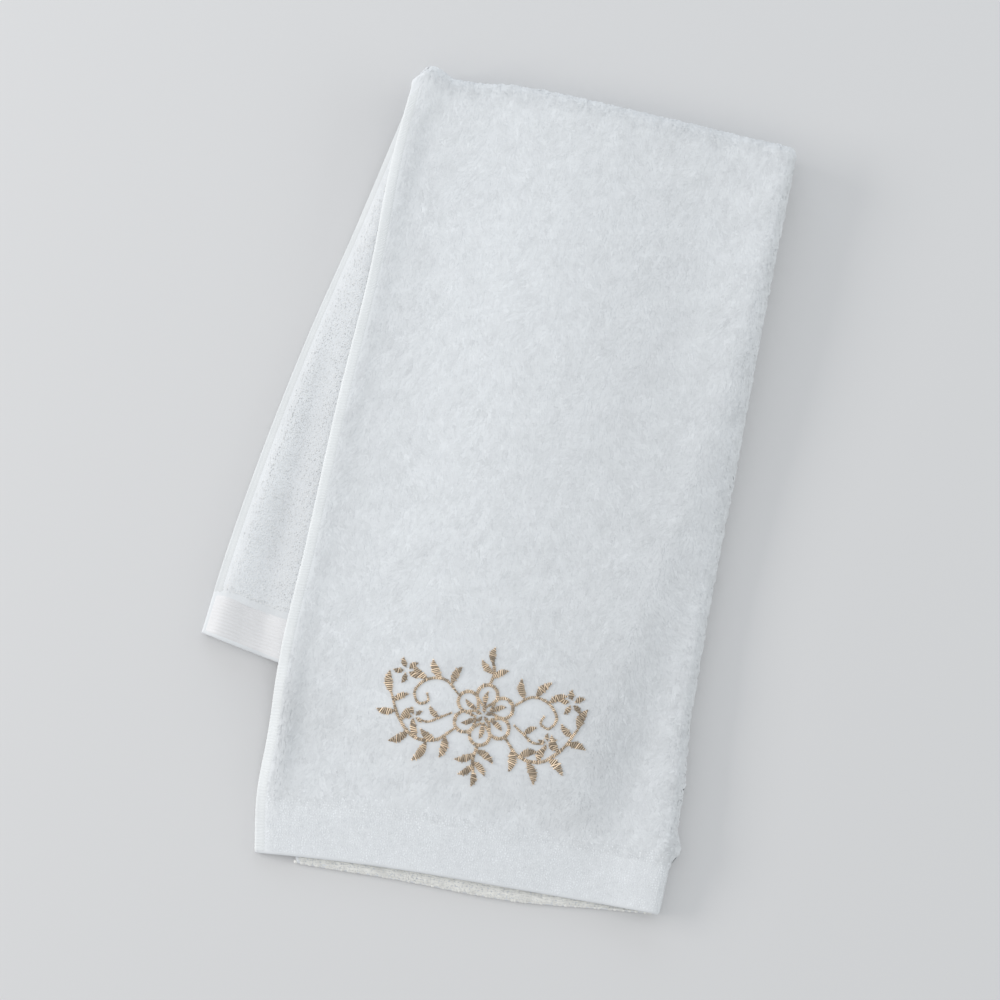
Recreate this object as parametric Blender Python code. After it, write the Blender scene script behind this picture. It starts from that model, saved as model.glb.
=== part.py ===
"""Hand towel of white cotton terry, folded and laid flat.

The cloth is one sheet, velour on its face and loops on its reverse, with a flat-woven hem at each
end. It is folded across its middle, then lengthwise with the right half turned under, and its rear
half, the tail, is swung out to the left. The folded cloth has four layers, from the top down:
  1 front      left half of the front end, velour up
  2 tail       left half of the tail end, loops up
  3 tail back  right half of the tail end, turned under the tail
  4 front back right half of the front end, turned under everything, on the table
Units are metres. +Y runs from the front hem to the cross fold, +X to the lengthwise fold, +Z up, and
the origin is under the middle of the folded towel, on the table.
"""

import bpy
import numpy as np

# ------------------------------------------------------------------ driving sizes
PILE_THICK = 0.0030        # the sheet with its pile
HEM_THICK = 0.0020         # the flat-woven end hems
LAYER_GAP = 0.0008         # air between two layers that lie on each other
FRONT_HEM_HEIGHT = 0.026
TAIL_HEM_HEIGHT = 0.0225
HEM_STEP = 0.003           # length over which the pile ends
EDGE_ROUND = 0.0012        # rounding of the free edges
EDGE_THIN = 0.55           # share of the thickness left at a free edge

# Front strip, a row for each section: distance north, left edge and right silhouette of the front,
# left edge of the layer turned under it, and how far the lengthwise fold stands open.
LEFT, RIGHT, UNDER_LEFT, FOLD_OPEN = 1, 2, 3, 4
FRONT_SECTIONS = (
    # y,      left,    right,  under_left, fold_open
    (-0.1975, -0.0785, 0.1203, -0.0580, 0.0042),
    (-0.1710, -0.0828, 0.1213, -0.0640, 0.0052),
    (-0.1420, -0.0830, 0.1212, -0.0710, 0.0055),
    (-0.0990, -0.0838, 0.1190, -0.0770, 0.0052),
    (-0.0490, -0.0818, 0.1192, -0.0765, 0.0044),
    (0.0260, -0.0800, 0.1210, -0.0750, 0.0038),
    (0.1010, -0.0765, 0.1222, -0.0725, 0.0036),
    (0.1510, -0.0765, 0.1236, -0.0715, 0.0032),
    (0.1910, -0.0735, 0.1250, -0.0700, 0.0022),
)
# Hem lines and the cross fold's outer line, a row for each place across.
FRONT_HEM, UNDER_HEM = 1, 2
FRONT_HEM_LINE = (
    # x,      front,   under
    (-0.0790, -0.2012, -0.2025),
    (-0.0415, -0.1983, -0.2024),
    (-0.0165, -0.1971, -0.2018),
    (0.0540, -0.1960, -0.2016),
    (0.0900, -0.1957, -0.1982),
    (0.1180, -0.1957, -0.1957),
)
FOLD_LINE = 1
CROSS_FOLD_LINE = (
    # x,      y
    (-0.0740, 0.1950),
    (-0.0660, 0.2028),
    (-0.0545, 0.1998),
    (-0.0200, 0.2015),
    (0.0400, 0.1990),
    (0.0900, 0.1960),
    (0.1180, 0.1935),
)
# Tail: its hem from the left edge to the axis of its own lengthwise fold, and the outward bow of
# its left edge, a row for each place along from the hem to the cross fold.
TAIL_HEM_LEFT = (-0.1254, -0.1005)
TAIL_HEM_RIGHT = (0.0656, -0.1388)
TAIL_BACK_INSET = 0.0065   # left edge of the tail back, inside the tail's
TAIL_BACK_DROP = 0.0012    # hem of the tail back, below the tail's
BOW = 1
TAIL_BOW = (
    # along, bow
    (0.00, 0.0000),
    (0.12, 0.0028),
    (0.30, 0.0050),
    (0.55, 0.0050),
    (0.75, 0.0025),
    (1.00, 0.0000),
)

# Folds: how far the middle of the sheet reaches past each fold's axis, and how far the cloth
# stands open there over what it would lie at.
SIDE_FOLD_REACH = 0.0036
SIDE_FOLD_HEM_REACH = 0.0026
TAIL_FOLD_REACH = 0.0030
TAIL_FOLD_OPEN = 0.0010
CROSS_FOLD_REACH = 0.0040
CROSS_FOLD_UNDER_REACH = 0.0030
CROSS_FOLD_OPEN = 0.0020
CROSS_FOLD_UNDER_OPEN = 0.0008
CORNER_OPEN = 0.0014       # more of it at the puffed corner on the left
CORNER_WIDTH = 0.050
FOLD_FADE = 0.018          # distance over which a lengthwise fold lies down
CROSS_FOLD_FADE = 0.026
HEM_DRAW_IN = 0.0006       # how far the hem is drawn in at the lengthwise fold

# How the cloth comes down beside an edge or a hem's step that lies under it.
HEM_DRAPE = 0.022
UNDER_EDGE_MARGIN = 0.0015
UNDER_EDGE_SLOPE = 0.018
TAIL_EDGE_MARGIN = 0.003
TAIL_EDGE_SLOPE = 0.028
TAIL_RIM_WIDTH = 0.0075    # the tail's left rim curls down past the tail back

# Beads along the left edges, where the sewn side hems lie rounder than the cloth beside them.
FRONT_BEAD = 0.0012
FRONT_BEAD_PLACE = 0.0075
FRONT_BEAD_WIDTH = 0.0055
LOOSE_BEAD = 0.0018        # more of it where the edge lies loose, below the tail
LOOSE_BEAD_NORTH = -0.142
LOOSE_BEAD_LENGTH = 0.038
TAIL_BEAD = 0.0016
TAIL_BEAD_PLACE = 0.0100
TAIL_BEAD_WIDTH = 0.0085

# Relief of the front: broad low swells over the flat lay, a row for each.
SWELLS = (
    # x,     y,      half_width, half_length, height
    (0.021, 0.115, 0.0560, 0.095, 0.0042),
    (0.030, 0.005, 0.0700, 0.080, 0.0028),
    (-0.004, -0.080, 0.0400, 0.050, 0.0012),
    (-0.010, -0.145, 0.0400, 0.035, 0.0022),
    (0.040, -0.185, 0.0600, 0.022, 0.0008),
)

# Grid lines inwards from a free edge, a row for each band: where it ends and its number of cells.
ACROSS_BANDS = ((EDGE_ROUND, 1), (0.036, 8), (0.055, 2), (0.175, 8), (0.203, 4))
UNDER_BANDS = ((EDGE_ROUND, 1), (0.028, 4), (0.203, 9))
FRONT_BANDS = ((EDGE_ROUND, 1), (0.0240, 2), (0.0275, 1), (0.110, 8), (0.360, 14), (0.393, 3))
TAIL_BANDS = ((EDGE_ROUND, 1), (0.0205, 2), (0.0240, 1), (0.270, 15), (0.300, 3))
FOLD_CELLS = 6
TURN_CELLS = 8
SLOPE_STEP = 1e-4          # step of the slopes that give the sheet's normals


# ------------------------------------------------------------------ helpers
def ease(t):
    t = np.clip(t, 0.0, 1.0)
    return t * t * (3.0 - 2.0 * t)


def bump(distance, width):
    return np.exp(-((distance / width) ** 2))


def mix(first, second, share):
    return first + (second - first) * share


def read(table, column, at):
    """A smooth curve through one column of a table, read against its first column."""
    table = np.array(table)
    keys = table[:, 0]
    values = table[:, column]
    slopes = np.gradient(values, keys)
    at = np.clip(at, keys[0], keys[-1])
    left = np.clip(np.searchsorted(keys, at, side="right") - 1, 0, len(keys) - 2)
    span = keys[left + 1] - keys[left]
    t = (at - keys[left]) / span
    return (
        values[left] * (1 + 2 * t) * (1 - t) ** 2
        + values[left + 1] * t * t * (3 - 2 * t)
        + span * t * (1 - t) * (slopes[left] * (1 - t) - slopes[left + 1] * t)
    )


def right_of(start, end, x, y):
    """Distance of a place to the right of the line from start to end."""
    dx = end[0] - start[0]
    dy = end[1] - start[1]
    return ((x - start[0]) * dy - (y - start[1]) * dx) / np.hypot(dx, dy)


def grid_lines(bands):
    lines = [0.0]
    for end, cells in bands:
        lines.extend(np.linspace(lines[-1], end, cells + 1)[1:])
    return np.array(lines) / lines[-1]


# ------------------------------------------------------------------ the folded lay, seen from above
def above_front_hem(y):
    return y - (FRONT_SECTIONS[0][0] + FRONT_HEM_HEIGHT)


def front_pile(y):
    """0 on the front end's hem, 1 on its pile."""
    return ease(above_front_hem(y) / HEM_STEP + 0.5)


def front_thickness(y):
    return mix(HEM_THICK, PILE_THICK, front_pile(y))


def above_tail_hem(x, y):
    return right_of(TAIL_HEM_RIGHT, TAIL_HEM_LEFT, x, y) - TAIL_HEM_HEIGHT


def tail_thickness(x, y):
    return mix(HEM_THICK, PILE_THICK, ease(above_tail_hem(x, y) / HEM_STEP + 0.5))


def drape(above_hem):
    """Height that the cloth over a layer keeps for it, eased out over the layer's own hem."""
    share = ease((above_hem + HEM_STEP / 2) / HEM_DRAPE + 1)
    return mix(HEM_THICK, PILE_THICK, share) + LAYER_GAP


def side_fold_reach(y):
    return mix(SIDE_FOLD_HEM_REACH, SIDE_FOLD_REACH, front_pile(y))


def side_fold_axis(y):
    draw_in = HEM_DRAW_IN * (1 - front_pile(y))
    return read(FRONT_SECTIONS, RIGHT, y) - side_fold_reach(y) - front_thickness(y) / 2 - draw_in


def cross_fold_axis(x):
    return read(CROSS_FOLD_LINE, FOLD_LINE, x) - CROSS_FOLD_REACH - PILE_THICK / 2


def front_place(across, along, under):
    """A place on the front strip: across from its left edge, along from its hem."""
    north = mix(FRONT_SECTIONS[0][0], FRONT_SECTIONS[-1][0], along)
    left = read(FRONT_SECTIONS, UNDER_LEFT if under else LEFT, north)
    x = mix(left, side_fold_axis(north), across)
    hem = read(FRONT_HEM_LINE, UNDER_HEM if under else FRONT_HEM, x)
    y = mix(hem, cross_fold_axis(x), along)
    return x, y


def tail_place(across, along, under):
    """A place on the tail strip: across from its left edge, along from its hem."""
    hem_x = mix(TAIL_HEM_LEFT[0], TAIL_HEM_RIGHT[0], across)
    hem_y = mix(TAIL_HEM_LEFT[1], TAIL_HEM_RIGHT[1], across)
    if under:
        hem_x = hem_x + TAIL_BACK_INSET * (1 - across)
        hem_y = hem_y - TAIL_BACK_DROP * (1 - across)
    top_x, top_y = front_place(across, np.ones_like(across), under)
    bow = read(TAIL_BOW, BOW, along) * (1 - across)
    return mix(hem_x, top_x, along) - bow, mix(hem_y, top_y, along)


def cross_fold_end(across):
    x, y = front_place(np.array([across]), np.array([1.0]), False)
    return x[0], y[0]


TAIL_TOP_LEFT = cross_fold_end(0.0)
TAIL_FOLD_TOP = cross_fold_end(1.0)


# ------------------------------------------------------------------ heights of the layers
def under_cover(x, y):
    """1 over the front back, falling to 0 where the cloth beside it has come down."""
    beside = read(FRONT_SECTIONS, UNDER_LEFT, y) - x - UNDER_EDGE_MARGIN
    return 1 - ease(beside / UNDER_EDGE_SLOPE)


def tail_cover(x, y):
    """1 over the tail, falling to 0 below its hem and to the right of its fold."""
    below = right_of(TAIL_HEM_LEFT, TAIL_HEM_RIGHT, x, y) - TAIL_EDGE_MARGIN
    beside = right_of(TAIL_HEM_RIGHT, TAIL_FOLD_TOP, x, y) - TAIL_FOLD_REACH - TAIL_EDGE_MARGIN
    return (1 - ease(below / TAIL_EDGE_SLOPE)) * (1 - ease(beside / TAIL_EDGE_SLOPE))


def cross_fold_open(x, y, height):
    below = np.maximum(cross_fold_axis(x) - y, 0)
    return height * bump(below, CROSS_FOLD_FADE)


def tail_fold_open(x, y):
    beside = right_of(TAIL_HEM_RIGHT, TAIL_FOLD_TOP, x, y)
    return TAIL_FOLD_OPEN * bump(beside, FOLD_FADE)


def swells(x, y):
    height = np.zeros_like(x)
    for centre_x, centre_y, half_width, half_length, rise in SWELLS:
        height = height + rise * bump(x - centre_x, half_width) * bump(y - centre_y, half_length)
    return height


def front_bead(x, y):
    from_left = x - read(FRONT_SECTIONS, LEFT, y)
    height = FRONT_BEAD + LOOSE_BEAD * bump(y - LOOSE_BEAD_NORTH, LOOSE_BEAD_LENGTH)
    return height * bump(from_left - FRONT_BEAD_PLACE, FRONT_BEAD_WIDTH)


def tail_bead(x, y):
    from_line = right_of(TAIL_HEM_LEFT, TAIL_TOP_LEFT, x, y)
    along = (y - TAIL_HEM_LEFT[1]) / (TAIL_TOP_LEFT[1] - TAIL_HEM_LEFT[1])
    from_left = from_line + read(TAIL_BOW, BOW, along)
    return TAIL_BEAD * bump(from_left - TAIL_BEAD_PLACE, TAIL_BEAD_WIDTH)


def height_front_back(x, y):
    return front_thickness(y) / 2


def floor_of_tail(x, y):
    on_back = under_cover(x, y) * drape(above_front_hem(y))
    return on_back + cross_fold_open(x, y, CROSS_FOLD_UNDER_OPEN)


def height_tail_back(x, y):
    return floor_of_tail(x, y) + tail_thickness(x, y) / 2


def height_tail(x, y, from_left):
    pitch = tail_thickness(x, y) + LAYER_GAP
    on_back = ease((from_left - EDGE_ROUND) / TAIL_RIM_WIDTH)
    return height_tail_back(x, y) + pitch * on_back + tail_fold_open(x, y) + tail_bead(x, y)


def height_front(x, y):
    pitch = drape(above_tail_hem(x, y))
    in_tail = tail_cover(x, y) * (2 * pitch + tail_fold_open(x, y) + tail_bead(x, y))
    corner = CORNER_OPEN * bump(x - CROSS_FOLD_LINE[0][0], CORNER_WIDTH)
    puff = cross_fold_open(x, y, CROSS_FOLD_OPEN + corner)
    side = read(FRONT_SECTIONS, FOLD_OPEN, y) * bump(side_fold_axis(y) - x, FOLD_FADE)
    relief = puff + side + swells(x, y) + front_bead(x, y)
    return floor_of_tail(x, y) + in_tail + relief + front_thickness(y) / 2


# ------------------------------------------------------------------ the folded sheet
def middle(across, along):
    """The middle of the sheet.

    across runs 0-1 over the upper layer, 1-2 round the lengthwise fold and 2-3 back under it;
    along runs 0-1 up the front, 1-2 round the cross fold and 2-3 down the tail.
    """
    upper = np.clip(across, 0, 1)
    lower = 1 - np.clip(across - 2, 0, 1)
    fold = np.pi * np.clip(across - 1, 0, 1)
    front = np.clip(along, 0, 1)
    tail = 1 - np.clip(along - 2, 0, 1)
    turn = np.pi * np.clip(along - 1, 0, 1)
    to_tail = (1 - np.cos(turn)) / 2
    to_under = (1 - np.cos(fold)) / 2

    over_x, over_y = front_place(upper, front, False)
    under_x, under_y = front_place(lower, front, True)
    tail_x, tail_y = tail_place(upper, tail, False)
    back_x, back_y = tail_place(lower, tail, True)
    is_tail = along > 1.5
    upper_x = np.where(is_tail, tail_x, over_x)
    upper_y = np.where(is_tail, tail_y, over_y)
    lower_x = np.where(is_tail, back_x, under_x)
    lower_y = np.where(is_tail, back_y, under_y)
    is_under = across > 1.5
    x = np.where(is_under, lower_x, upper_x)
    y = np.where(is_under, lower_y, upper_y)

    from_left = upper * (TAIL_HEM_RIGHT[0] - TAIL_HEM_LEFT[0])
    high = mix(height_front(x, y), height_tail(x, y, from_left), to_tail)
    low = mix(height_front_back(x, y), height_tail_back(x, y), to_tail)
    z = mix(high, low, to_under)

    lean = np.arctan2(TAIL_FOLD_TOP[0] - TAIL_HEM_RIGHT[0], TAIL_FOLD_TOP[1] - TAIL_HEM_RIGHT[1])
    lean = lean * to_tail
    side = mix(side_fold_reach(y), TAIL_FOLD_REACH, to_tail) * np.sin(fold)
    top = mix(CROSS_FOLD_REACH, CROSS_FOLD_UNDER_REACH, to_under) * np.sin(turn)
    x = x + side * np.cos(lean) + top * np.sin(lean)
    y = y - side * np.sin(lean) + top * np.cos(lean)
    return np.stack([x, y, z], axis=-1)


def thickness(across, along):
    spot = middle(across, along)
    front = front_thickness(spot[..., 1])
    tail = tail_thickness(spot[..., 0], spot[..., 1])
    thick = np.where(along > 1.5, tail, front)
    return np.where((along > 1) & (along < 2), PILE_THICK, thick)


def slope(across, along, step_across, step_along):
    """Slope of the sheet in one direction, taken inside the sheet at its edges."""
    high = middle(np.clip(across + step_across, 0, 3), np.clip(along + step_along, 0, 3))
    low = middle(np.clip(across - step_across, 0, 3), np.clip(along - step_along, 0, 3))
    return high - low


def make_sheet(name):
    across = grid_lines(ACROSS_BANDS)
    under = 3 - grid_lines(UNDER_BANDS)[::-1]
    fold = 1 + np.arange(1, FOLD_CELLS) / FOLD_CELLS
    across = np.concatenate([across, fold, under])
    front = grid_lines(FRONT_BANDS)
    tail = 3 - grid_lines(TAIL_BANDS)[::-1]
    turn = 1 + np.arange(1, TURN_CELLS) / TURN_CELLS
    along = np.concatenate([front, turn, tail])

    grid_across, grid_along = np.meshgrid(across, along, indexing="ij")
    centre = middle(grid_across, grid_along)
    normal = np.cross(
        slope(grid_across, grid_along, SLOPE_STEP, 0.0),
        slope(grid_across, grid_along, 0.0, SLOPE_STEP),
    )
    normal /= np.linalg.norm(normal, axis=-1, keepdims=True)
    half = thickness(grid_across, grid_along) / 2
    half[[0, -1], :] *= EDGE_THIN
    half[:, [0, -1]] *= EDGE_THIN
    face = centre + normal * half[..., None]
    back = centre - normal * half[..., None]

    columns, rows = grid_across.shape
    number = np.arange(columns * rows).reshape(columns, rows)
    other = number + columns * rows
    faces = []
    for i in range(columns - 1):
        for j in range(rows - 1):
            faces.append((number[i, j], number[i + 1, j], number[i + 1, j + 1], number[i, j + 1]))
            faces.append((other[i, j], other[i, j + 1], other[i + 1, j + 1], other[i + 1, j]))
    for j in range(rows - 1):
        faces.append((number[0, j], number[0, j + 1], other[0, j + 1], other[0, j]))
        faces.append((number[-1, j + 1], number[-1, j], other[-1, j], other[-1, j + 1]))
    for i in range(columns - 1):
        faces.append((number[i + 1, 0], number[i, 0], other[i, 0], other[i + 1, 0]))
        faces.append((number[i, -1], number[i + 1, -1], other[i + 1, -1], other[i, -1]))

    points = np.concatenate([face.reshape(-1, 3), back.reshape(-1, 3)])
    points[:, 2] = np.maximum(points[:, 2], 0.0)
    mesh = bpy.data.meshes.new(name)
    mesh.from_pydata(points.tolist(), [], [tuple(int(k) for k in corner) for corner in faces])
    mesh.validate()
    mesh.update()
    mesh.shade_smooth()
    sheet = bpy.data.objects.new(name, mesh)
    bpy.context.collection.objects.link(sheet)
    return sheet


def cotton():
    """White terry: rough, not metallic."""
    material = bpy.data.materials.new("white_cotton_terry")
    material.use_nodes = True
    shader = material.node_tree.nodes["Principled BSDF"]
    shader.inputs["Base Color"].default_value = (0.87, 0.89, 0.90, 1.0)
    shader.inputs["Roughness"].default_value = 0.95
    shader.inputs["Metallic"].default_value = 0.0
    return material


def main():
    for thing in list(bpy.data.objects):
        bpy.data.objects.remove(thing, do_unlink=True)
    towel = make_sheet("hand_towel")
    towel.data.materials.append(cotton())


main()
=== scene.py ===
"""Looks of the folded hand towel: its sheet, velour, loops, woven hems and stitched spray.

The sheet follows the towel's solid, from the same sizes and in finer steps. Units are metres. +Y runs
from the front hem to the cross fold, +X to the lengthwise fold and +Z up. Places on the cloth are
across, 0-1 on the upper layers, 1-2 round the lengthwise fold and 2-3 on the lower layers, and along,
0-1 up the front, 1-2 round the cross fold and 2-3 down the tail. Distances over the cloth are u, from
the left edge, and v, from the front hem.
"""

import math

import bpy
import numpy as np
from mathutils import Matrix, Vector


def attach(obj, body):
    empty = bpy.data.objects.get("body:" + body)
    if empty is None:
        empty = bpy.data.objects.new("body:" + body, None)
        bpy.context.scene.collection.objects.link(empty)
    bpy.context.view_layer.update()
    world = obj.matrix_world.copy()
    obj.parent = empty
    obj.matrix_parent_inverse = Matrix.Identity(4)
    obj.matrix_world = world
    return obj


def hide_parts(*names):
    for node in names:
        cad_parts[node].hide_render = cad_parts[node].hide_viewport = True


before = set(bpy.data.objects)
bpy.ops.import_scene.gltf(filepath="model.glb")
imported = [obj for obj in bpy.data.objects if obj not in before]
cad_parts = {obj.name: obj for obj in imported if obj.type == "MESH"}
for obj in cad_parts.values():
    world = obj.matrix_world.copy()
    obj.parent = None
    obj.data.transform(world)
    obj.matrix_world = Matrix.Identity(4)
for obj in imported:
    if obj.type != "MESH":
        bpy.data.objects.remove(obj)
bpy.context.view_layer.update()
rng = np.random.default_rng(20)

# ---- driving sizes
PILE_THICK = 0.0030  # the sheet with its pile
HEM_THICK = 0.0020  # the flat-woven end hems
LAYER_GAP = 0.0008  # air between two layers that lie on each other
FRONT_HEM_HEIGHT = 0.026
TAIL_HEM_HEIGHT = 0.0225
HEM_STEP = 0.003  # length over which the pile ends
HEM_SLOPE = 0.009  # length over which the front sinks to its hem
EDGE_ROUND = 0.0012  # rounding of the free edges

# Front strip, a row for each section: distance north, left edge and right silhouette of the front,
# left edge of the layer turned under it, and how far the lengthwise fold stands open.
LEFT, RIGHT, UNDER_LEFT, FOLD_OPEN = 1, 2, 3, 4
FRONT_SECTIONS = (
    # y,      left,    right,  under_left, fold_open
    (-0.1975, -0.0785, 0.1203, -0.0580, 0.0042),
    (-0.1710, -0.0828, 0.1213, -0.0640, 0.0052),
    (-0.1420, -0.0830, 0.1212, -0.0710, 0.0055),
    (-0.0990, -0.0838, 0.1190, -0.0770, 0.0052),
    (-0.0490, -0.0818, 0.1192, -0.0765, 0.0044),
    (0.0260, -0.0800, 0.1210, -0.0750, 0.0038),
    (0.1010, -0.0765, 0.1222, -0.0725, 0.0036),
    (0.1510, -0.0765, 0.1236, -0.0715, 0.0032),
    (0.1910, -0.0735, 0.1250, -0.0700, 0.0022),
)
# Hem lines and the cross fold's outer line, a row for each place across.
FRONT_HEM, UNDER_HEM = 1, 2
FRONT_HEM_LINE = (
    # x,      front,   under
    (-0.0790, -0.2012, -0.2025),
    (-0.0415, -0.1983, -0.2024),
    (-0.0165, -0.1971, -0.2018),
    (0.0540, -0.1960, -0.2016),
    (0.0900, -0.1957, -0.1982),
    (0.1180, -0.1957, -0.1957),
)
FOLD_LINE = 1
CROSS_FOLD_LINE = (
    # x,      y
    (-0.0740, 0.1950),
    (-0.0660, 0.2028),
    (-0.0545, 0.1998),
    (-0.0200, 0.2015),
    (0.0400, 0.1990),
    (0.0900, 0.1960),
    (0.1180, 0.1935),
)
# Tail: its hem from the left edge to the axis of its own lengthwise fold, and the outward bow of
# its left edge, a row for each place along from the hem to the cross fold.
TAIL_HEM_LEFT = (-0.1254, -0.1005)
TAIL_HEM_RIGHT = (0.0656, -0.1388)
TAIL_BACK_INSET = 0.0065  # left edge of the tail back, inside the tail's
TAIL_BACK_DROP = 0.0012  # hem of the tail back, below the tail's
BOW = 1
TAIL_BOW = (
    # along, bow
    (0.00, 0.0000),
    (0.12, 0.0028),
    (0.30, 0.0050),
    (0.55, 0.0050),
    (0.75, 0.0025),
    (1.00, 0.0000),
)

# Folds: how far the middle of the sheet reaches past each fold's axis, and how far the cloth
# stands open there over what it would lie at.
SIDE_FOLD_REACH = 0.0036
SIDE_FOLD_HEM_REACH = 0.0026
TAIL_FOLD_REACH = 0.0030
TAIL_FOLD_OPEN = 0.0010
CROSS_FOLD_REACH = 0.0040
CROSS_FOLD_UNDER_REACH = 0.0030
CROSS_FOLD_OPEN = 0.0020
CROSS_FOLD_UNDER_OPEN = 0.0008
CORNER_OPEN = 0.0014  # more of it at the puffed corner on the left
CORNER_WIDTH = 0.050
FOLD_FADE = 0.018  # distance over which a lengthwise fold lies down
CROSS_FOLD_FADE = 0.026
HEM_DRAW_IN = 0.0006  # how far the hem is drawn in at the lengthwise fold

# How the cloth comes down beside an edge or a hem's step that lies under it.
HEM_DRAPE = 0.022
UNDER_EDGE_MARGIN = 0.0015
UNDER_EDGE_SLOPE = 0.018
TAIL_EDGE_MARGIN = 0.003
TAIL_EDGE_SLOPE = 0.028
TAIL_RIM_WIDTH = 0.0075  # the tail's left rim curls down past the tail back

# Beads along the left edges, where the sewn side hems lie rounder than the cloth beside them, and
# more of the front's where it lies loose below the tail: height, place and half width.
FRONT_BEAD = (0.0012, 0.0075, 0.0055)
LOOSE_BEAD = (0.0018, -0.142, 0.038)
TAIL_BEAD = (0.0016, 0.0100, 0.0085)

# Relief of the front: broad low swells over the flat lay, a row for each.
SWELLS = (
    # x,     y,      half_width, half_length, height
    (0.021, 0.115, 0.0560, 0.095, 0.0042),
    (0.030, 0.005, 0.0700, 0.080, 0.0028),
    (-0.004, -0.080, 0.0400, 0.050, 0.0012),
    (-0.010, -0.145, 0.0400, 0.035, 0.0022),
    (0.040, -0.185, 0.0600, 0.022, 0.0008),
)


# ---- the cloth and its hems
HALF_WIDTH = 0.203  # the folded strip's width, across 0-1
FRONT_LENGTH = 0.393  # along 0-1
TAIL_LENGTH = 0.300  # along 2-3
SIDE_FOLD_ARC = 0.013  # way round the lengthwise fold
CROSS_FOLD_ARC = 0.011  # way round the cross fold
UNDER_START = HALF_WIDTH + SIDE_FOLD_ARC  # the under strip, in distances over the cloth
UNDER_END = UNDER_START + HALF_WIDTH
SLOPE_STEP = 2e-4  # of across or along, to take the sheet's slope
GROUND_THICK = 0.0024  # the woven ground with the matted foot of its pile
SIDE_HEM_WIDTH = 0.0046  # flat-woven hem of the long edges
SIDE_HEM_THICK = 0.0024
SIDE_HEM_WRAP = (0.0020, 0.00125, 0.0005)  # grid lines of its woven face on beneath the rim
SIDE_HEM_CELLS = 8  # of the grid between its rim's rounding and its end
SIDE_HEM_TUCK = 0.0034  # how far its woven face runs on beneath the pile
HEM_BLEND = 0.0070  # distance over which the pile gives way to a hem
RIM_ROUND = 0.0015  # rounding of the free edges
RIM_CELLS = 4  # of the grid over it
RIM_LEAST = 0.004  # squared share of the thickness left at the rim

# Bands of the sheet's grid, from a free edge: where each ends and its cells.
OVER_BANDS = ((0.013, 5), (0.190, 56), (HALF_WIDTH, 5))
UNDER_BANDS = ((0.012, 4), (0.110, 24), (0.195, 8), (HALF_WIDTH, 3))
FRONT_BANDS = ((0.030, 10), (0.375, 108), (FRONT_LENGTH, 7))
TAIL_BANDS = ((0.026, 9), (0.290, 76), (TAIL_LENGTH, 4))
SIDE_FOLD_CELLS = 12
CROSS_FOLD_CELLS = 14

# Unevenness of the folded edges, and bunches of pile that stand out of the long fold.
KNOB_SIZE = 0.0065
KNOB_HEIGHT = 0.0006
KNOB_RANGE = (0.4, 0.6, 1.2)  # mean, swing and most, as shares of the height
CROSS_KNOBS = 0.6  # how high they are round the cross fold
LONG_FOLD = (UNDER_START - 0.004, 0.009)  # middle and reach of the folds, over the cloth
CROSS_FOLD = (FRONT_LENGTH + 0.006, 0.007)
KNOB_FADE = 0.0045  # distance from the front hem over which they set in
FOLD_LUMPS = (
    # place from the front hem, reach, height
    (0.0315, 0.0080, 0.0030),
    (0.0640, 0.0060, 0.0006),
    (0.1130, 0.0080, 0.0006),
)

RIB_PITCH = 0.00150  # ribs across the side hems
RIB_CELLS = 5
RIB_HEIGHT = 0.00014
TAIL_SIDE_RIB = 0.00006
RIB_WOBBLE = 0.15  # of a rib's place, in pitches
WOBBLE_LENGTH = 0.012
WOBBLE_STRETCH = 3  # how much shorter it is across the hem
TAIL_RIB_PITCH = 0.00170  # ribs along the tail's end hem
TAIL_RIB_CELLS = 7
TAIL_RIB_HEIGHT = 0.00024
TAIL_RIB_WOBBLE = 0.08
TAIL_WOBBLE_LENGTH = 0.020
TAIL_HEM_REACH = 0.62  # how far across the tail it is woven
TAIL_HEM_CELLS = 96
TAIL_HEM_INSET = RIM_ROUND * 0.6  # from the rim at its free end
TAIL_RIM_FADE = 0.001
WOVEN_RISE = 0.00010  # of a hem's woven face over the sheet
WOVEN_SINK = 0.0008  # of its inner end into the sheet
FRONT_HEM_RUN = (0.003, 0.995)  # along the front
TAIL_HEM_START = 2.02  # along the tail, just past the cross fold

# ---- pile, knots and loops
# Pitch over the cloth, then the least and the most length, width and rise.
VELOUR = (0.00106, (0.0040, 0.0080), (0.00085, 0.00175), (0.00001, 0.00011))
EDGE = (0.00130, (0.0024, 0.0046), (0.0013, 0.0022), (0.0, 0.00018))  # stubby, over the folds
KNOT = (0.00125, (0.0011, 0.0018), (0.0008, 0.0011), (0.00003, 0.00015))  # front hem
BEAD = (0.00095, (0.0014, 0.0024), (0.0013, 0.0020), (0.0001, 0.0005))  # hem that shows below it
VELOUR_FLAT = 0.07  # thickness as a share of the width
EDGE_FLAT = 0.28
KNOT_FLAT = 0.14

# Sections of a tuft: how far along it, and shares of its width and its rise.
LONG_TUFT = ((0.0, 0.0, 0.0), (0.38, 1.0, 1.0), (1.0, 0.0, 0.4))
SHORT_TUFT = ((0.0, 1.0, 0.2), (1.0, 0.0, 0.5))
VELOUR_KINDS = (
    # name, sections, pitch as a share
    ("bent", LONG_TUFT, 1.18),
    ("short", SHORT_TUFT, 1.10),
)
TUFT_SINK = 0.0009  # of a tuft's foot into the ground
TUFT_INSET = RIM_ROUND * 0.3  # least distance from the rim
TUFT_BEND = 0.3  # share of its length that follows the curl
CURL = 0.4  # spread of the curl, in radians
NAP_HEADING = -0.5 * math.pi  # towards the front hem
NAP_SWING = 0.30  # of the heading from place to place
NAP_LENGTHS = (0.060, 0.013)
NAP_SPREAD = 0.30  # of the heading from tuft to tuft
CLUMP_SIZE = 0.0042
CLUMP_PULL = 0.18
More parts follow.
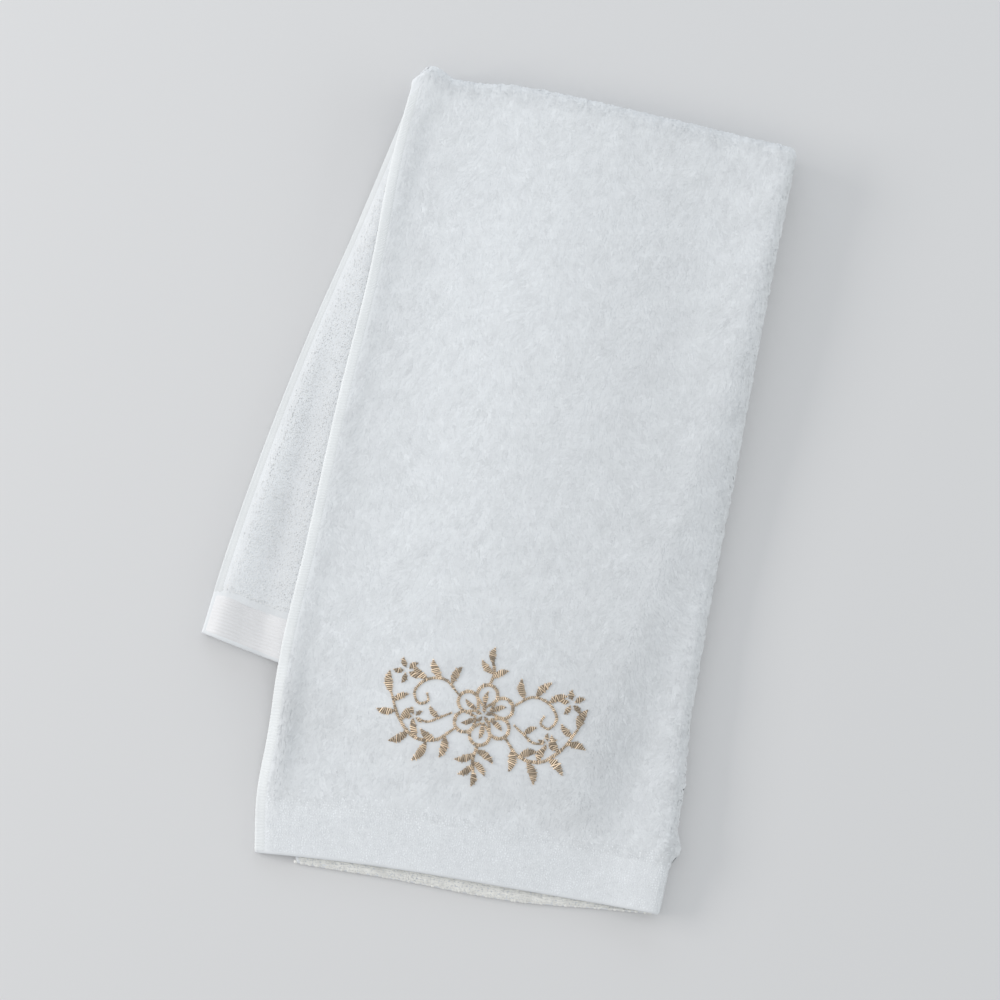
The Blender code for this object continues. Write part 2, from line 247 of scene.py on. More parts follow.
CLUMP_MIDDLE = (0.2, 0.8)  # where in its cell a clump may have its middle
CLUMP_DICE = ((127.1, 311.7, 43758.5), (269.5, 183.3, 24634.6))

VELOUR_CUTS = (0.006, 0.075, 0.140)  # from the left edge, where the front's three pieces start
VELOUR_LOW = 0.016  # lowest tufts, from the front hem
FOLD_SHARE = 0.85  # how far round the folds the lying tufts go
PILE_THINNING = (0.05, 0.75)  # share of the pile below which tufts drop out
PILE_RAMP = 0.0080  # distance from a hem over which the pile grows whole
RAMP_START = 0.2
RAMP_LEAST = 0.25  # size of the tufts beside a hem
EDGE_FADE = 0.006  # distance over which the stubby tufts thin out from the fold
EDGE_START = 0.75
EDGE_RISE_START = 0.6
EDGE_RISE_LEAST = 0.3
KNOT_FADE = 0.0070  # distance over which the knots thin out into the pile
KNOT_JITTER = 0.6
KNOT_TURN = 0.25
KNOT_CURL = 0.3
FRONT_KNOTS_LEFT = 0.006
FRONT_KNOTS_LOW = 0.0022
UNDER_KNOTS = (0.0012, 0.018)  # from the hem's rim
RIM_BEAD_PITCH = 0.0013
RIM_BEAD_PLACE = (0.1, 0.9)  # where in its pitch a bead may sit
RIM_BEAD = (0.0007, 0.0012)  # radius of a bead on that rim
BEAD_ROUNDS = 5
BEAD_SIDES = 7

LOOP_ROW_PITCH = 0.00125  # along the cloth
LOOP_PITCH = 0.00100  # across it
LOOP_ROW_PLACE = (0.25, 0.75)  # where in its pitch a loop may stand
LOOP_PLACE = (0.1, 0.9)
LOOP_REACH = 0.110  # how far across the tail loops are grown
LOOP_COVER = 0.010  # how far in they go beneath the front
LOOP_TOP = 0.001  # clear of the cross fold
LOOP_HEIGHT = (-0.00004, 0.00016)
LOOP_SPAN = (0.00045, 0.00075)  # half of it, from foot to foot
LOOP_YARN = 0.00032  # radius of the yarn
LOOP_SINK = 0.0008  # of a loop's feet into the ground
LOOP_TURN = (0.9, 0.55)  # heading from the row's, and its spread
LOOP_TILT = 0.35
LOOP_STEPS = 4
LOOP_SIDES = 3
LOOP_START = 0.1  # of their growth beside a hem
END_RAMP_SHARE = 2.0  # how much quicker they grow whole above the end hem

# ---- lightness
PILE_SOFTNESS = 0.95  # how far light spreads through the pile and evens out its shading
PILE_CATCH = 0.7  # how much of the light from above a pile that faces sideways catches
PILE_TONE = 0.985
# Tufts and loops are painted darker at their feet: painted shade at the roots.
ROOT_PAINTED_SHADE = 0.985
TUFT_TONE = 0.007  # spread from tuft to tuft
STREAK_WIDTH = 0.0030  # of the fine streaks along the towel
STREAK_SHAPE = 0.38  # their width as a share of their length
STREAK_WAVES = (40, (0.6, 2.4))  # how many, and their least and most length as shares
STREAK_TONE = 0.028
BLOTCH_SIZE = 0.013  # of the broad mottling
BLOTCH_WAVES = (30, (0.5, 2.4))
BLOTCH_TONE = 0.013
KNOT_TONE = 1.145
BEAD_TONE = (1.05, 0.03)  # mean and spread
LOOP_TONE = (0.985, 0.012)
TAIL_SIDE_TONE = 0.92  # of the tail's side hem
SIDE_HEM_TONE = 0.94  # of the inner side of the long edges' hems
SIDE_TONE_FADE = (0.002, 0.006)  # start and length of the way from the rim's to the inner tone
TAIL_HEM_TONE = 0.99

# Painted light and shade on the front: patches painted lighter on flanks that face the light and darker in
# hollows and on slopes turned from it. Place from the left edge and from the front hem, reach both ways,
# and what is added to the lightness.
PILE_PAINTED_LIGHT_AND_SHADE = (
    (0.058, 0.250, 0.036, 0.170, 0.050),  # left of the middle
    (0.168, 0.220, 0.042, 0.170, -0.060),  # slope to the long fold
    (0.160, 0.082, 0.036, 0.048, -0.070),  # hollow beside the spray
    (0.008, 0.066, 0.020, 0.030, -0.090),  # hollow inside the left edge
    (0.012, 0.240, 0.022, 0.110, -0.040),  # the same, farther up
    (0.200, 0.100, 0.020, 0.060, -0.030),  # low end of the long fold
)
# The same painted light and shade for the tail's loops, with places from the left edge and from the tail's
# end.
LOOP_PAINTED_LIGHT_AND_SHADE = (
    (0.0145, 0.075, 0.0075, 0.080, 0.085),  # trough
    (0.0340, 0.040, 0.0100, 0.100, -0.085),  # slope up to the front
    (0.0240, 0.110, 0.0080, 0.060, -0.055),  # the same, farther up
    (0.0220, 0.028, 0.0060, 0.020, 0.040),  # low end of the trough
    (0.0064, 0.150, 0.0034, 0.300, -0.100),  # inside the side hem
)


# ---- helpers
def ease(t):
    t = np.clip(t, 0.0, 1.0)
    return t * t * (3.0 - 2.0 * t)


def bump(distance, width):
    return np.exp(-((distance / width) ** 2))


def mix(first, second, share):
    return first + (second - first) * share


def patches(x, y, table):
    """Sum of soft patches, a row for each: place and reach both ways, and height."""
    total = np.zeros_like(x)
    for centre_x, centre_y, reach_x, reach_y, height in table:
        total = total + height * bump(x - centre_x, reach_x) * bump(y - centre_y, reach_y)
    return total


def read(table, column, at):
    """A smooth curve through one column of a table, read against its first column."""
    table = np.array(table)
    keys = table[:, 0]
    values = table[:, column]
    slopes = np.gradient(values, keys)
    at = np.clip(at, keys[0], keys[-1])
    left = np.clip(np.searchsorted(keys, at, side="right") - 1, 0, len(keys) - 2)
    span = keys[left + 1] - keys[left]
    t = (at - keys[left]) / span
    return (
        values[left] * (1 + 2 * t) * (1 - t) ** 2
        + values[left + 1] * t * t * (3 - 2 * t)
        + span * t * (1 - t) * (slopes[left] * (1 - t) - slopes[left + 1] * t)
    )


def right_of(start, end, x, y):
    """Distance of a place to the right of the line from start to end."""
    dx = end[0] - start[0]
    dy = end[1] - start[1]
    return ((x - start[0]) * dy - (y - start[1]) * dx) / np.hypot(dx, dy)


# ---- the folded lay, seen from above
def above_front_hem(y):
    return y - (FRONT_SECTIONS[0][0] + FRONT_HEM_HEIGHT)


def front_pile(y):
    """0 on the front end's hem, 1 on its pile."""
    return ease(above_front_hem(y) / HEM_STEP + 0.5)


def front_thickness(y):
    return mix(HEM_THICK, PILE_THICK, ease(above_front_hem(y) / HEM_SLOPE + 0.5))


def above_tail_hem(x, y):
    return right_of(TAIL_HEM_RIGHT, TAIL_HEM_LEFT, x, y) - TAIL_HEM_HEIGHT


def tail_thickness(x, y):
    return mix(HEM_THICK, PILE_THICK, ease(above_tail_hem(x, y) / HEM_STEP + 0.5))


def drape(above_hem):
    """Height that the cloth over a layer keeps for it, eased out over the layer's own hem."""
    share = ease((above_hem + HEM_STEP / 2) / HEM_DRAPE + 1)
    return mix(HEM_THICK, PILE_THICK, share) + LAYER_GAP


def side_fold_reach(y):
    return mix(SIDE_FOLD_HEM_REACH, SIDE_FOLD_REACH, front_pile(y))


def side_fold_axis(y):
    draw_in = HEM_DRAW_IN * (1 - front_pile(y))
    return read(FRONT_SECTIONS, RIGHT, y) - side_fold_reach(y) - front_thickness(y) / 2 - draw_in


def cross_fold_axis(x):
    return read(CROSS_FOLD_LINE, FOLD_LINE, x) - CROSS_FOLD_REACH - PILE_THICK / 2


def front_place(across, along, under):
    """A place on the front strip: across from its left edge, along from its hem."""
    north = mix(FRONT_SECTIONS[0][0], FRONT_SECTIONS[-1][0], along)
    left = read(FRONT_SECTIONS, UNDER_LEFT if under else LEFT, north)
    x = mix(left, side_fold_axis(north), across)
    hem = read(FRONT_HEM_LINE, UNDER_HEM if under else FRONT_HEM, x)
    y = mix(hem, cross_fold_axis(x), along)
    return x, y


def tail_place(across, along, under):
    """A place on the tail strip: across from its left edge, along from its hem."""
    hem_x = mix(TAIL_HEM_LEFT[0], TAIL_HEM_RIGHT[0], across)
    hem_y = mix(TAIL_HEM_LEFT[1], TAIL_HEM_RIGHT[1], across)
    if under:
        hem_x = hem_x + TAIL_BACK_INSET * (1 - across)
        hem_y = hem_y - TAIL_BACK_DROP * (1 - across)
    top_x, top_y = front_place(across, np.ones_like(across), under)
    bow = read(TAIL_BOW, BOW, along) * (1 - across)
    return mix(hem_x, top_x, along) - bow, mix(hem_y, top_y, along)


def cross_fold_end(across):
    x, y = front_place(np.array([across]), np.array([1.0]), False)
    return x[0], y[0]


TAIL_TOP_LEFT = cross_fold_end(0.0)
TAIL_FOLD_TOP = cross_fold_end(1.0)


# ---- heights of the layers
def under_cover(x, y):
    """1 over the front back, falling to 0 where the cloth beside it has come down."""
    beside = read(FRONT_SECTIONS, UNDER_LEFT, y) - x - UNDER_EDGE_MARGIN
    return 1 - ease(beside / UNDER_EDGE_SLOPE)


def tail_cover(x, y):
    """1 over the tail, falling to 0 below its hem and to the right of its fold."""
    below = right_of(TAIL_HEM_LEFT, TAIL_HEM_RIGHT, x, y) - TAIL_EDGE_MARGIN
    beside = right_of(TAIL_HEM_RIGHT, TAIL_FOLD_TOP, x, y) - TAIL_FOLD_REACH - TAIL_EDGE_MARGIN
    return (1 - ease(below / TAIL_EDGE_SLOPE)) * (1 - ease(beside / TAIL_EDGE_SLOPE))


def cross_fold_open(x, y, height):
    below = np.maximum(cross_fold_axis(x) - y, 0)
    return height * bump(below, CROSS_FOLD_FADE)


def tail_fold_open(x, y):
    beside = right_of(TAIL_HEM_RIGHT, TAIL_FOLD_TOP, x, y)
    return TAIL_FOLD_OPEN * bump(beside, FOLD_FADE)


def bead(at, size):
    """Height of a bead at a distance from the line that it is measured from."""
    height, place, width = size
    return height * bump(at - place, width)


def front_bead(x, y):
    height, place, width = FRONT_BEAD
    return bead(x - read(FRONT_SECTIONS, LEFT, y), (height + bead(y, LOOSE_BEAD), place, width))


def tail_bead(x, y):
    from_line = right_of(TAIL_HEM_LEFT, TAIL_TOP_LEFT, x, y)
    along = (y - TAIL_HEM_LEFT[1]) / (TAIL_TOP_LEFT[1] - TAIL_HEM_LEFT[1])
    return bead(from_line + read(TAIL_BOW, BOW, along), TAIL_BEAD)


def height_front_back(x, y):
    return front_thickness(y) / 2


def floor_of_tail(x, y):
    on_back = under_cover(x, y) * drape(above_front_hem(y))
    return on_back + cross_fold_open(x, y, CROSS_FOLD_UNDER_OPEN)


def height_tail_back(x, y):
    return floor_of_tail(x, y) + tail_thickness(x, y) / 2


def height_tail(x, y, from_left):
    pitch = tail_thickness(x, y) + LAYER_GAP
    on_back = ease((from_left - EDGE_ROUND) / TAIL_RIM_WIDTH)
    return height_tail_back(x, y) + pitch * on_back + tail_fold_open(x, y) + tail_bead(x, y)


def height_front(x, y):
    pitch = drape(above_tail_hem(x, y))
    in_tail = tail_cover(x, y) * (2 * pitch + tail_fold_open(x, y) + tail_bead(x, y))
    corner = CORNER_OPEN * bump(x - CROSS_FOLD_LINE[0][0], CORNER_WIDTH)
    puff = cross_fold_open(x, y, CROSS_FOLD_OPEN + corner)
    side = read(FRONT_SECTIONS, FOLD_OPEN, y) * bump(side_fold_axis(y) - x, FOLD_FADE)
    relief = puff + side + patches(x, y, SWELLS) + front_bead(x, y)
    return floor_of_tail(x, y) + in_tail + relief + front_thickness(y) / 2


# ---- the folded sheet
def middle(across, along):
    """The middle of the sheet at places across and along the cloth."""
    upper = np.clip(across, 0, 1)
    lower = 1 - np.clip(across - 2, 0, 1)
    fold = np.pi * np.clip(across - 1, 0, 1)
    front = np.clip(along, 0, 1)
    tail = 1 - np.clip(along - 2, 0, 1)
    turn = np.pi * np.clip(along - 1, 0, 1)
    to_tail = (1 - np.cos(turn)) / 2
    to_under = (1 - np.cos(fold)) / 2

    is_tail = along > 1.5
    above = np.where(is_tail, tail_place(upper, tail, False), front_place(upper, front, False))
    beneath = np.where(is_tail, tail_place(lower, tail, True), front_place(lower, front, True))
    x, y = np.where(across > 1.5, beneath, above)

    from_left = upper * (TAIL_HEM_RIGHT[0] - TAIL_HEM_LEFT[0])
    high = mix(height_front(x, y), height_tail(x, y, from_left), to_tail)
    low = mix(height_front_back(x, y), height_tail_back(x, y), to_tail)
    z = mix(high, low, to_under)

    lean = np.arctan2(TAIL_FOLD_TOP[0] - TAIL_HEM_RIGHT[0], TAIL_FOLD_TOP[1] - TAIL_HEM_RIGHT[1])
    lean = lean * to_tail
    side = mix(side_fold_reach(y), TAIL_FOLD_REACH, to_tail) * np.sin(fold)
    top = mix(CROSS_FOLD_REACH, CROSS_FOLD_UNDER_REACH, to_under) * np.sin(turn)
    x = x + side * np.cos(lean) + top * np.sin(lean)
    y = y - side * np.sin(lean) + top * np.cos(lean)
    return np.stack([x, y, z], axis=-1)


# ---- mesh helpers
def unit(vectors):
    return vectors / np.linalg.norm(vectors, axis=-1, keepdims=True)


def slope(across, along, step_across, step_along):
    """Slope of the sheet in one direction, taken inside the sheet at its edges."""
    high = middle(np.clip(across + step_across, 0, 3), np.clip(along + step_along, 0, 3))
    low = middle(np.clip(across - step_across, 0, 3), np.clip(along - step_along, 0, 3))
    return high - low


def make_mesh(name, points, faces, material, tone=None, soft=None):
    """A mesh piece that stays above the surface. A face of three corners has -1 for its fourth. soft
    is a normal for each point that its shading leans to, as light spread through a pile evens it."""
    faces = np.asarray(faces)
    points = np.array(points, dtype=float).reshape(-1, 3)
    points[:, 2] = np.maximum(points[:, 2], 0.0)
    real = faces >= 0
    counts = real.sum(axis=1)
    mesh = bpy.data.meshes.new(name)
    mesh.vertices.add(len(points))
    mesh.vertices.foreach_set("co", points.ravel())
    mesh.loops.add(int(counts.sum()))
    mesh.loops.foreach_set("vertex_index", faces[real])
    mesh.polygons.add(len(faces))
    mesh.polygons.foreach_set("loop_start", np.concatenate([[0], np.cumsum(counts)[:-1]]))
    mesh.update(calc_edges=True)
    mesh.validate()
    mesh.shade_smooth()
    if soft is not None:
        own = np.zeros(len(points) * 3)
        mesh.vertex_normals.foreach_get("vector", own)
        leaning = unit(mix(own.reshape(-1, 3), soft, PILE_SOFTNESS))
        mesh.normals_split_custom_set_from_vertices(leaning)
    if tone is not None:
        layer = mesh.attributes.new("tone", "FLOAT", "POINT")
        layer.data.foreach_set("value", np.asarray(tone, dtype=float).ravel())
    mesh.materials.append(material)
    piece = bpy.data.objects.new(name, mesh)
    bpy.context.scene.collection.objects.link(piece)
    return piece


def strip_faces(a, b):
    """Faces between two rows of points."""
    return np.stack([a[:-1], a[1:], b[1:], b[:-1]], axis=-1).reshape(-1, 4)


def grid_faces(columns, rows):
    """Faces of a grid of points numbered row by row within each column."""
    number = np.arange(columns * rows).reshape(columns, rows)
    return strip_faces(number[:, :-1], number[:, 1:])


def tube_faces(steps, sides):
    """Faces of a tube with so many steps and sides, whose points are numbered ring by ring."""
    number = np.arange((steps + 1) * sides).reshape(steps + 1, sides)
    return strip_faces(number, np.roll(number, -1, axis=1))


def repeated(faces, count, per):
    """The same faces for each of so many pieces, of so many points each."""
    faces = np.asarray(faces)
    moved = faces + np.arange(count)[:, None, None] * per
    return np.where(faces < 0, -1, moved).reshape(-1, 4)


def wave_field(x, y, length, seed, count=9, spread=(0.7, 1.5)):
    """Smooth uneven field of about -1 to 1 whose swells are about as long as asked."""
    dice = np.random.default_rng(seed)
    total = np.zeros_like(x)
    for _ in range(count):
        heading = dice.uniform(0, 2 * np.pi)
        stretch = dice.uniform(*spread)
        phase = dice.uniform(0, 2 * np.pi)
        along = x * np.cos(heading) + y * np.sin(heading)
        total = total + np.sin(2 * np.pi * along / (length * stretch) + phase)
    return total / np.sqrt(count / 2)


# ---- places on the cloth
def from_edges(across, along):
    """Distances from the nearest long edge and from the nearest end hem's edge."""
    long_edge = np.minimum(across, 3 - across) * HALF_WIDTH
    end_edge = np.where(along < 1.5, along * FRONT_LENGTH, (3 - along) * TAIL_LENGTH)
    return long_edge, end_edge


def clear_of_side_hem(long_edge):
    """0 on a long edge's hem, 1 well inside it."""
    return ease((long_edge - SIDE_HEM_WIDTH) / HEM_BLEND + 0.5)


def pile_share(across, along):
    """1 where the cloth has its pile, 0 on its hems."""
    long_edge, end_edge = from_edges(across, along)
    hem = np.where(along < 1.5, FRONT_HEM_HEIGHT, TAIL_HEM_HEIGHT)
    return clear_of_side_hem(long_edge) * ease((end_edge - hem) / HEM_BLEND + 0.5)


def distances(across, along):
    """Distances over the cloth from the left edge and from the front hem."""
    wide = np.cumsum([0.0, HALF_WIDTH, SIDE_FOLD_ARC, HALF_WIDTH])
    long = np.cumsum([0.0, FRONT_LENGTH, CROSS_FOLD_ARC, TAIL_LENGTH])
    return np.interp(across, range(4), wide), np.interp(along, range(4), long)


def walked(distance, length, arc, after):
    """Across or along at a distance over the cloth, on round the fold and past it."""
    past = distance - length
    beyond = np.where(past < arc, 1 + past / arc, 2 + (past - arc) / after)
    return np.where(past < 0, distance / length, beyond)


def on_cloth(u, v):
    """Across and along at distances from the left edge and from the front hem."""
    across = walked(u, HALF_WIDTH, SIDE_FOLD_ARC, HALF_WIDTH)
    return across, walked(v, FRONT_LENGTH, CROSS_FOLD_ARC, TAIL_LENGTH)


# Painted light and shade over the tail's loops and the loop side of the sheet.
def loops_painted_light_and_shade(across, along):
    return 1 + patches(across * HALF_WIDTH, (3 - along) * TAIL_LENGTH, LOOP_PAINTED_LIGHT_AND_SHADE)


# ---- the sheet's two sides
def ground_half(across, along):
    """Half the thickness of the cloth without its pile, rounded off at the free edges."""
    long_edge, end_edge = from_edges(across, along)
    hem = mix(SIDE_HEM_THICK, HEM_THICK, clear_of_side_hem(long_edge))
    thick = mix(hem, GROUND_THICK, pile_share(across, along))
    near = np.clip(np.minimum(long_edge, end_edge) / RIM_ROUND, 0.0, 1.0)
    return thick / 2 * np.sqrt(np.maximum(1 - (1 - near) ** 2, RIM_LEAST))


def fold_knobs(u, v):
    """How far the pile stands out unevenly round the two folds."""
    long_fold = bump(u - LONG_FOLD[0], LONG_FOLD[1])
    cross_fold = bump(v - CROSS_FOLD[0], CROSS_FOLD[1])
    mean, swing, most = KNOB_RANGE
    uneven = KNOB_HEIGHT * np.clip(mean + swing * wave_field(u, v, KNOB_SIZE, seed=31), 0, most)
    knobs = uneven * np.maximum(long_fold, CROSS_KNOBS * cross_fold)
    for place, reach, height in FOLD_LUMPS:
        knobs = knobs + height * np.exp(-np.abs((v - place) / reach) ** 4) * long_fold
    return knobs * ease((v - FRONT_HEM_HEIGHT) / KNOB_FADE)


def sheet_side(across, along, side, lift=0.0):
    """Points on one side of the sheet and its normals: side is 1 for velour, -1 for loops."""
    width_way = slope(across, along, SLOPE_STEP, 0.0)
    normal = unit(np.cross(width_way, slope(across, along, 0.0, SLOPE_STEP)))
    reach = ground_half(across, along) + lift
    if side > 0:
        reach = reach + fold_knobs(*distances(across, along))
    reach = side * reach
    return middle(across, along) + normal * reach[..., None], normal * side


def rim_places():
    """Distances from a free edge over its rounding, closest at the rim."""
    return RIM_ROUND * (1 - np.cos(np.linspace(0, np.pi / 2, RIM_CELLS + 1)))


def rim_lines(bands, total):
    """Grid lines in 0-1 from a free edge: over its rounding, then the bands."""
    lines = list(rim_places())
    for end, cells in bands:
        lines.extend(np.linspace(lines[-1], end, cells + 1)[1:])
    return np.array(lines) / total


def fold_lines(cells):
    return 1 + np.arange(1, cells) / cells


def build_sheet(material):
    across = np.concatenate([rim_lines(OVER_BANDS, HALF_WIDTH), fold_lines(SIDE_FOLD_CELLS),
                             3 - rim_lines(UNDER_BANDS, HALF_WIDTH)[::-1]])
    along = np.concatenate([rim_lines(FRONT_BANDS, FRONT_LENGTH), fold_lines(CROSS_FOLD_CELLS),
                            3 - rim_lines(TAIL_BANDS, TAIL_LENGTH)[::-1]])
    across, along = np.meshgrid(across, along, indexing="ij")
    face, _ = sheet_side(across, along, 1)
    reverse, _ = sheet_side(across, along, -1)
    # painted light and shade over the velour side of the sheet
    face_painted_light_and_shade = 1 + patches(*distances(across, along), PILE_PAINTED_LIGHT_AND_SHADE)
    number = np.arange(across.size).reshape(across.shape)
    other = number + across.size
    top = grid_faces(*across.shape)
    rims = ((number[0], other[0]), (other[-1], number[-1]),
            (other[:, 0], number[:, 0]), (number[:, -1], other[:, -1]))
    faces = [top, top[:, ::-1] + across.size, *[strip_faces(*rim) for rim in rims]]
    # the loop side of the sheet takes the loops' painted light and shade
    tone = np.concatenate([face_painted_light_and_shade, loops_painted_light_and_shade(across, along)])
    return make_mesh("towel_sheet", np.stack([face, reverse]), np.concatenate(faces), material, tone)


# ---- velour and knots
def nap_turn(u, v):
    """Direction in which the pile leans over the cloth, in radians from the width's."""
    broad = wave_field(u, v, NAP_LENGTHS[0], seed=3)
    local = wave_field(u, v, NAP_LENGTHS[1], seed=4)
    return NAP_HEADING + NAP_SWING * (broad + local)


def scatter(first, last, low, high, pitch, jitter=1.0):
    """Uneven places between two distances from the left edge and two from the front hem."""
    places = []
    shape = (int((last - first) / pitch), int((high - low) / pitch))
    for start, end, number in zip((first, low), (last, high), np.indices(shape)):
        cells = number.max() + 1
        wander = jitter * rng.uniform(-0.5, 0.5, shape)
        places.append(mix(start, end, (number + 0.5 + wander) / cells).ravel())
    return places


def clump_pull(u, v):
    """Vector over the cloth from each tuft to the middle of its clump."""
    cells = (np.floor(u / CLUMP_SIZE), np.floor(v / CLUMP_SIZE))
    pulls = []
    for place, cell, (by_u, by_v, spread) in zip((u, v), cells, CLUMP_DICE):
        wander = np.modf(np.abs(np.sin(cells[0] * by_u + cells[1] * by_v) * spread))[0]
        pulls.append((cell + mix(*CLUMP_MIDDLE, wander)) * CLUMP_SIZE - place)
    return pulls


def draw_sizes(kind, curl, count):
    """Length, width, rise and curl of so many tufts of a kind."""
    return [*[rng.uniform(*limits, count) for limits in kind[1:]], rng.normal(0, curl, count)]


def pile_tone_and_painted_light(u, v):
    streak = wave_field(u, v * STREAK_SHAPE, STREAK_WIDTH, 21, *STREAK_WAVES)
    blotch = wave_field(u, v, BLOTCH_SIZE, 22, *BLOTCH_WAVES)
    own = rng.normal(PILE_TONE, TUFT_TONE, len(u))
    # the patches add painted light and shade over the tufts' random tone
    return (own + STREAK_TONE * streak + BLOTCH_TONE * blotch) * (1 + patches(u, v, PILE_PAINTED_LIGHT_AND_SHADE))


def tuft_faces(counts, closed):
    """Faces of a tuft whose sections have these counts of corners, three or one. A tuft that rests on the
    cloth has no underside; a closed one has."""
    ends = np.cumsum(counts)
    sections = [range(end - count, end) for end, count in zip(ends, counts)]
    faces = []
    for here, after in zip(sections, sections[1:]):
        for k in range(3 if closed else 2):
            m = (k + 1) % 3
            if len(here) == 1:
                faces.append((here[0], after[m], after[k], -1))
            else:
                faces.append((here[k], here[m], after[0], -1))
    return faces


def grow(name, u, v, turn, size, sections, side, material, flat=VELOUR_FLAT, closed=False, light=1.0):
    """A piece of tufts that lie along the cloth. size is the length, width, rise and curl of each.
    Each starts and ends in a point or in a section of three corners."""
    tone = light * pile_tone_and_painted_light(u, v)
    length, width, rise, curl = size
    places, lifts, shades = [], [], []
    for along, wide, high in sections:
        bend = turn + curl * along
        step = length * along / (1 + TUFT_BEND)
        centre_u = u + step * (np.cos(turn) + TUFT_BEND * np.cos(bend))
        centre_v = v + step * (np.sin(turn) + TUFT_BEND * np.sin(bend))
        foot = rise * high - (TUFT_SINK if along == 0 else 0)
        corners = ((0.5, 0.0), (0.0, flat), (-0.5, 0.0)) if wide else ((0.0, 0.0),)
        for aside, top in corners:
            reach = width * wide * aside
            places.append((centre_u - np.sin(bend) * reach, centre_v + np.cos(bend) * reach))
            lifts.append(foot + width * wide * top)
            # painted shade, darker towards the tuft's foot
            shades.append(mix(ROOT_PAINTED_SHADE, 1, along))
    u, v = np.maximum(np.stack(places, axis=-1), TUFT_INSET)
    points, normal = sheet_side(*on_cloth(u, v), side, np.stack(lifts, axis=1))
    faces = tuft_faces([3 if wide else 1 for _, wide, _ in sections], closed)
    faces = repeated(faces, len(u), len(lifts))
    if side < 0:
        faces = faces[:, [2, 1, 0, 3]]
    lit = unit(normal + (0, 0, PILE_CATCH)).reshape(-1, 3)
    return make_mesh(name, points, faces, material, np.outer(tone, shades), lit)


def build_velour(material):
    """Long bent tufts and short ones over the front, in three pieces of each. They are smaller
    beside the hems and round the stitches."""
    right = HALF_WIDTH + FOLD_SHARE * SIDE_FOLD_ARC
    top = FRONT_LENGTH + FOLD_SHARE * CROSS_FOLD_ARC
    cuts = (*VELOUR_CUTS, right)
    pull = 2 * CLUMP_PULL / CLUMP_SIZE
    pieces = []
    for part, (first, last) in enumerate(zip(cuts, cuts[1:])):
        for kind, sections, share in VELOUR_KINDS:
            u, v = scatter(first, last, VELOUR_LOW, top, VELOUR[0] * share)
            coat = pile_share(*on_cloth(u, v))
            near = stitch_distance(*middle(*on_cloth(u, v))[:, :2].T)
            keep = coat > rng.uniform(*PILE_THINNING, len(u))
            keep &= near > SPRAY_BARE * rng.uniform(*SPRAY_RAGGED, len(u))
            u, v, near = u[keep], v[keep], near[keep]
            long_edge, end_edge = from_edges(*on_cloth(u, v))
            inside = np.minimum(long_edge - SIDE_HEM_WIDTH, end_edge - FRONT_HEM_HEIGHT)
            shrink = mix(SPRAY_LEAST, 1, ease((near - SPRAY_BARE) / (SPRAY_CLEAR - SPRAY_BARE)))
            shrink = shrink * mix(RAMP_LEAST, 1, ease(inside / PILE_RAMP + RAMP_START))
            pull_u, pull_v = clump_pull(u, v)
            lean = nap_turn(u, v) + rng.normal(0, NAP_SPREAD, len(u))
            turn = np.arctan2(np.sin(lean) + pull * pull_v, np.cos(lean) + pull * pull_u)
            length, width, rise, curl = draw_sizes(VELOUR, CURL, len(u))
            size = (length * shrink, width * np.sqrt(shrink), rise * shrink, curl)
            pieces.append(grow(f"velour_{kind}_{part + 1}", u, v, turn, size, sections, 1, material))
    return pieces


def build_edge_tufts(material):
    """Stubby tufts that make the two folds' outlines soft."""
    inner = HALF_WIDTH - EDGE_FADE
    right = UNDER_START + EDGE_FADE
    low = FRONT_LENGTH - EDGE_FADE
    top = FRONT_LENGTH + CROSS_FOLD_ARC
    bands = (
        (inner, right, FRONT_HEM_HEIGHT, top),
        (SIDE_HEM_WIDTH, inner, low, top),
        (right, UNDER_END - SIDE_HEM_WIDTH, low, top),
    )
    u, v = np.concatenate([scatter(*band, EDGE[0]) for band in bands], axis=1)
    over = np.maximum(u - HALF_WIDTH, v - FRONT_LENGTH) / EDGE_FADE
    keep = over + EDGE_START > rng.uniform(0.0, 1.0, len(u))
    u, v, over = u[keep], v[keep], over[keep]
    length, width, rise, curl = draw_sizes(EDGE, CURL, len(u))
    size = (length, width, rise * mix(EDGE_RISE_LEAST, 1, ease(over + EDGE_RISE_START)), curl)
    turn = nap_turn(u, v) + rng.normal(0, NAP_SPREAD, len(u))
    return grow("velour_edge", u, v, turn, size, LONG_TUFT, 1, material, EDGE_FLAT, closed=True)


def build_knots(name, first, last, low, high, side, material, knot):
    """Short columns of knotted weave on an end hem."""
    u, v = scatter(first, last, low, high, knot[0], KNOT_JITTER)
    keep = (high - v) / KNOT_FADE > rng.uniform(0.0, 1.0, len(u))
    u, v = u[keep], v[keep]
    turn = NAP_HEADING + rng.normal(0, KNOT_TURN, len(u))
    size = draw_sizes(knot, KNOT_CURL, len(u))
    return grow(name, u, v, turn, size, LONG_TUFT, side, material, KNOT_FLAT, light=KNOT_TONE)


def build_rim_beads(material):
    """Rounded knots along the free rim of the turned-under hem."""
    count = int(HALF_WIDTH / RIM_BEAD_PITCH)
    across = 2 + (np.arange(count) + rng.uniform(*RIM_BEAD_PLACE, count)) / count
    centre = middle(across, np.full(count, RIM_ROUND / 2 / FRONT_LENGTH))
    radius = rng.uniform(*RIM_BEAD, count)
    tilt, turn = np.indices((BEAD_ROUNDS + 1, BEAD_SIDES)).reshape(2, -1)
    tilt = np.pi * tilt / BEAD_ROUNDS
    turn = 2 * np.pi * turn / BEAD_SIDES
    ball = np.column_stack([np.sin(tilt) * np.cos(turn), np.sin(tilt) * np.sin(turn), np.cos(tilt)])
    points = centre[:, None] + radius[:, None, None] * ball
    faces = repeated(tube_faces(BEAD_ROUNDS, BEAD_SIDES), count, len(ball))
    tone = np.repeat(rng.normal(*BEAD_TONE, count), len(ball))
    return make_mesh("rim_beads", points, faces, material, tone)


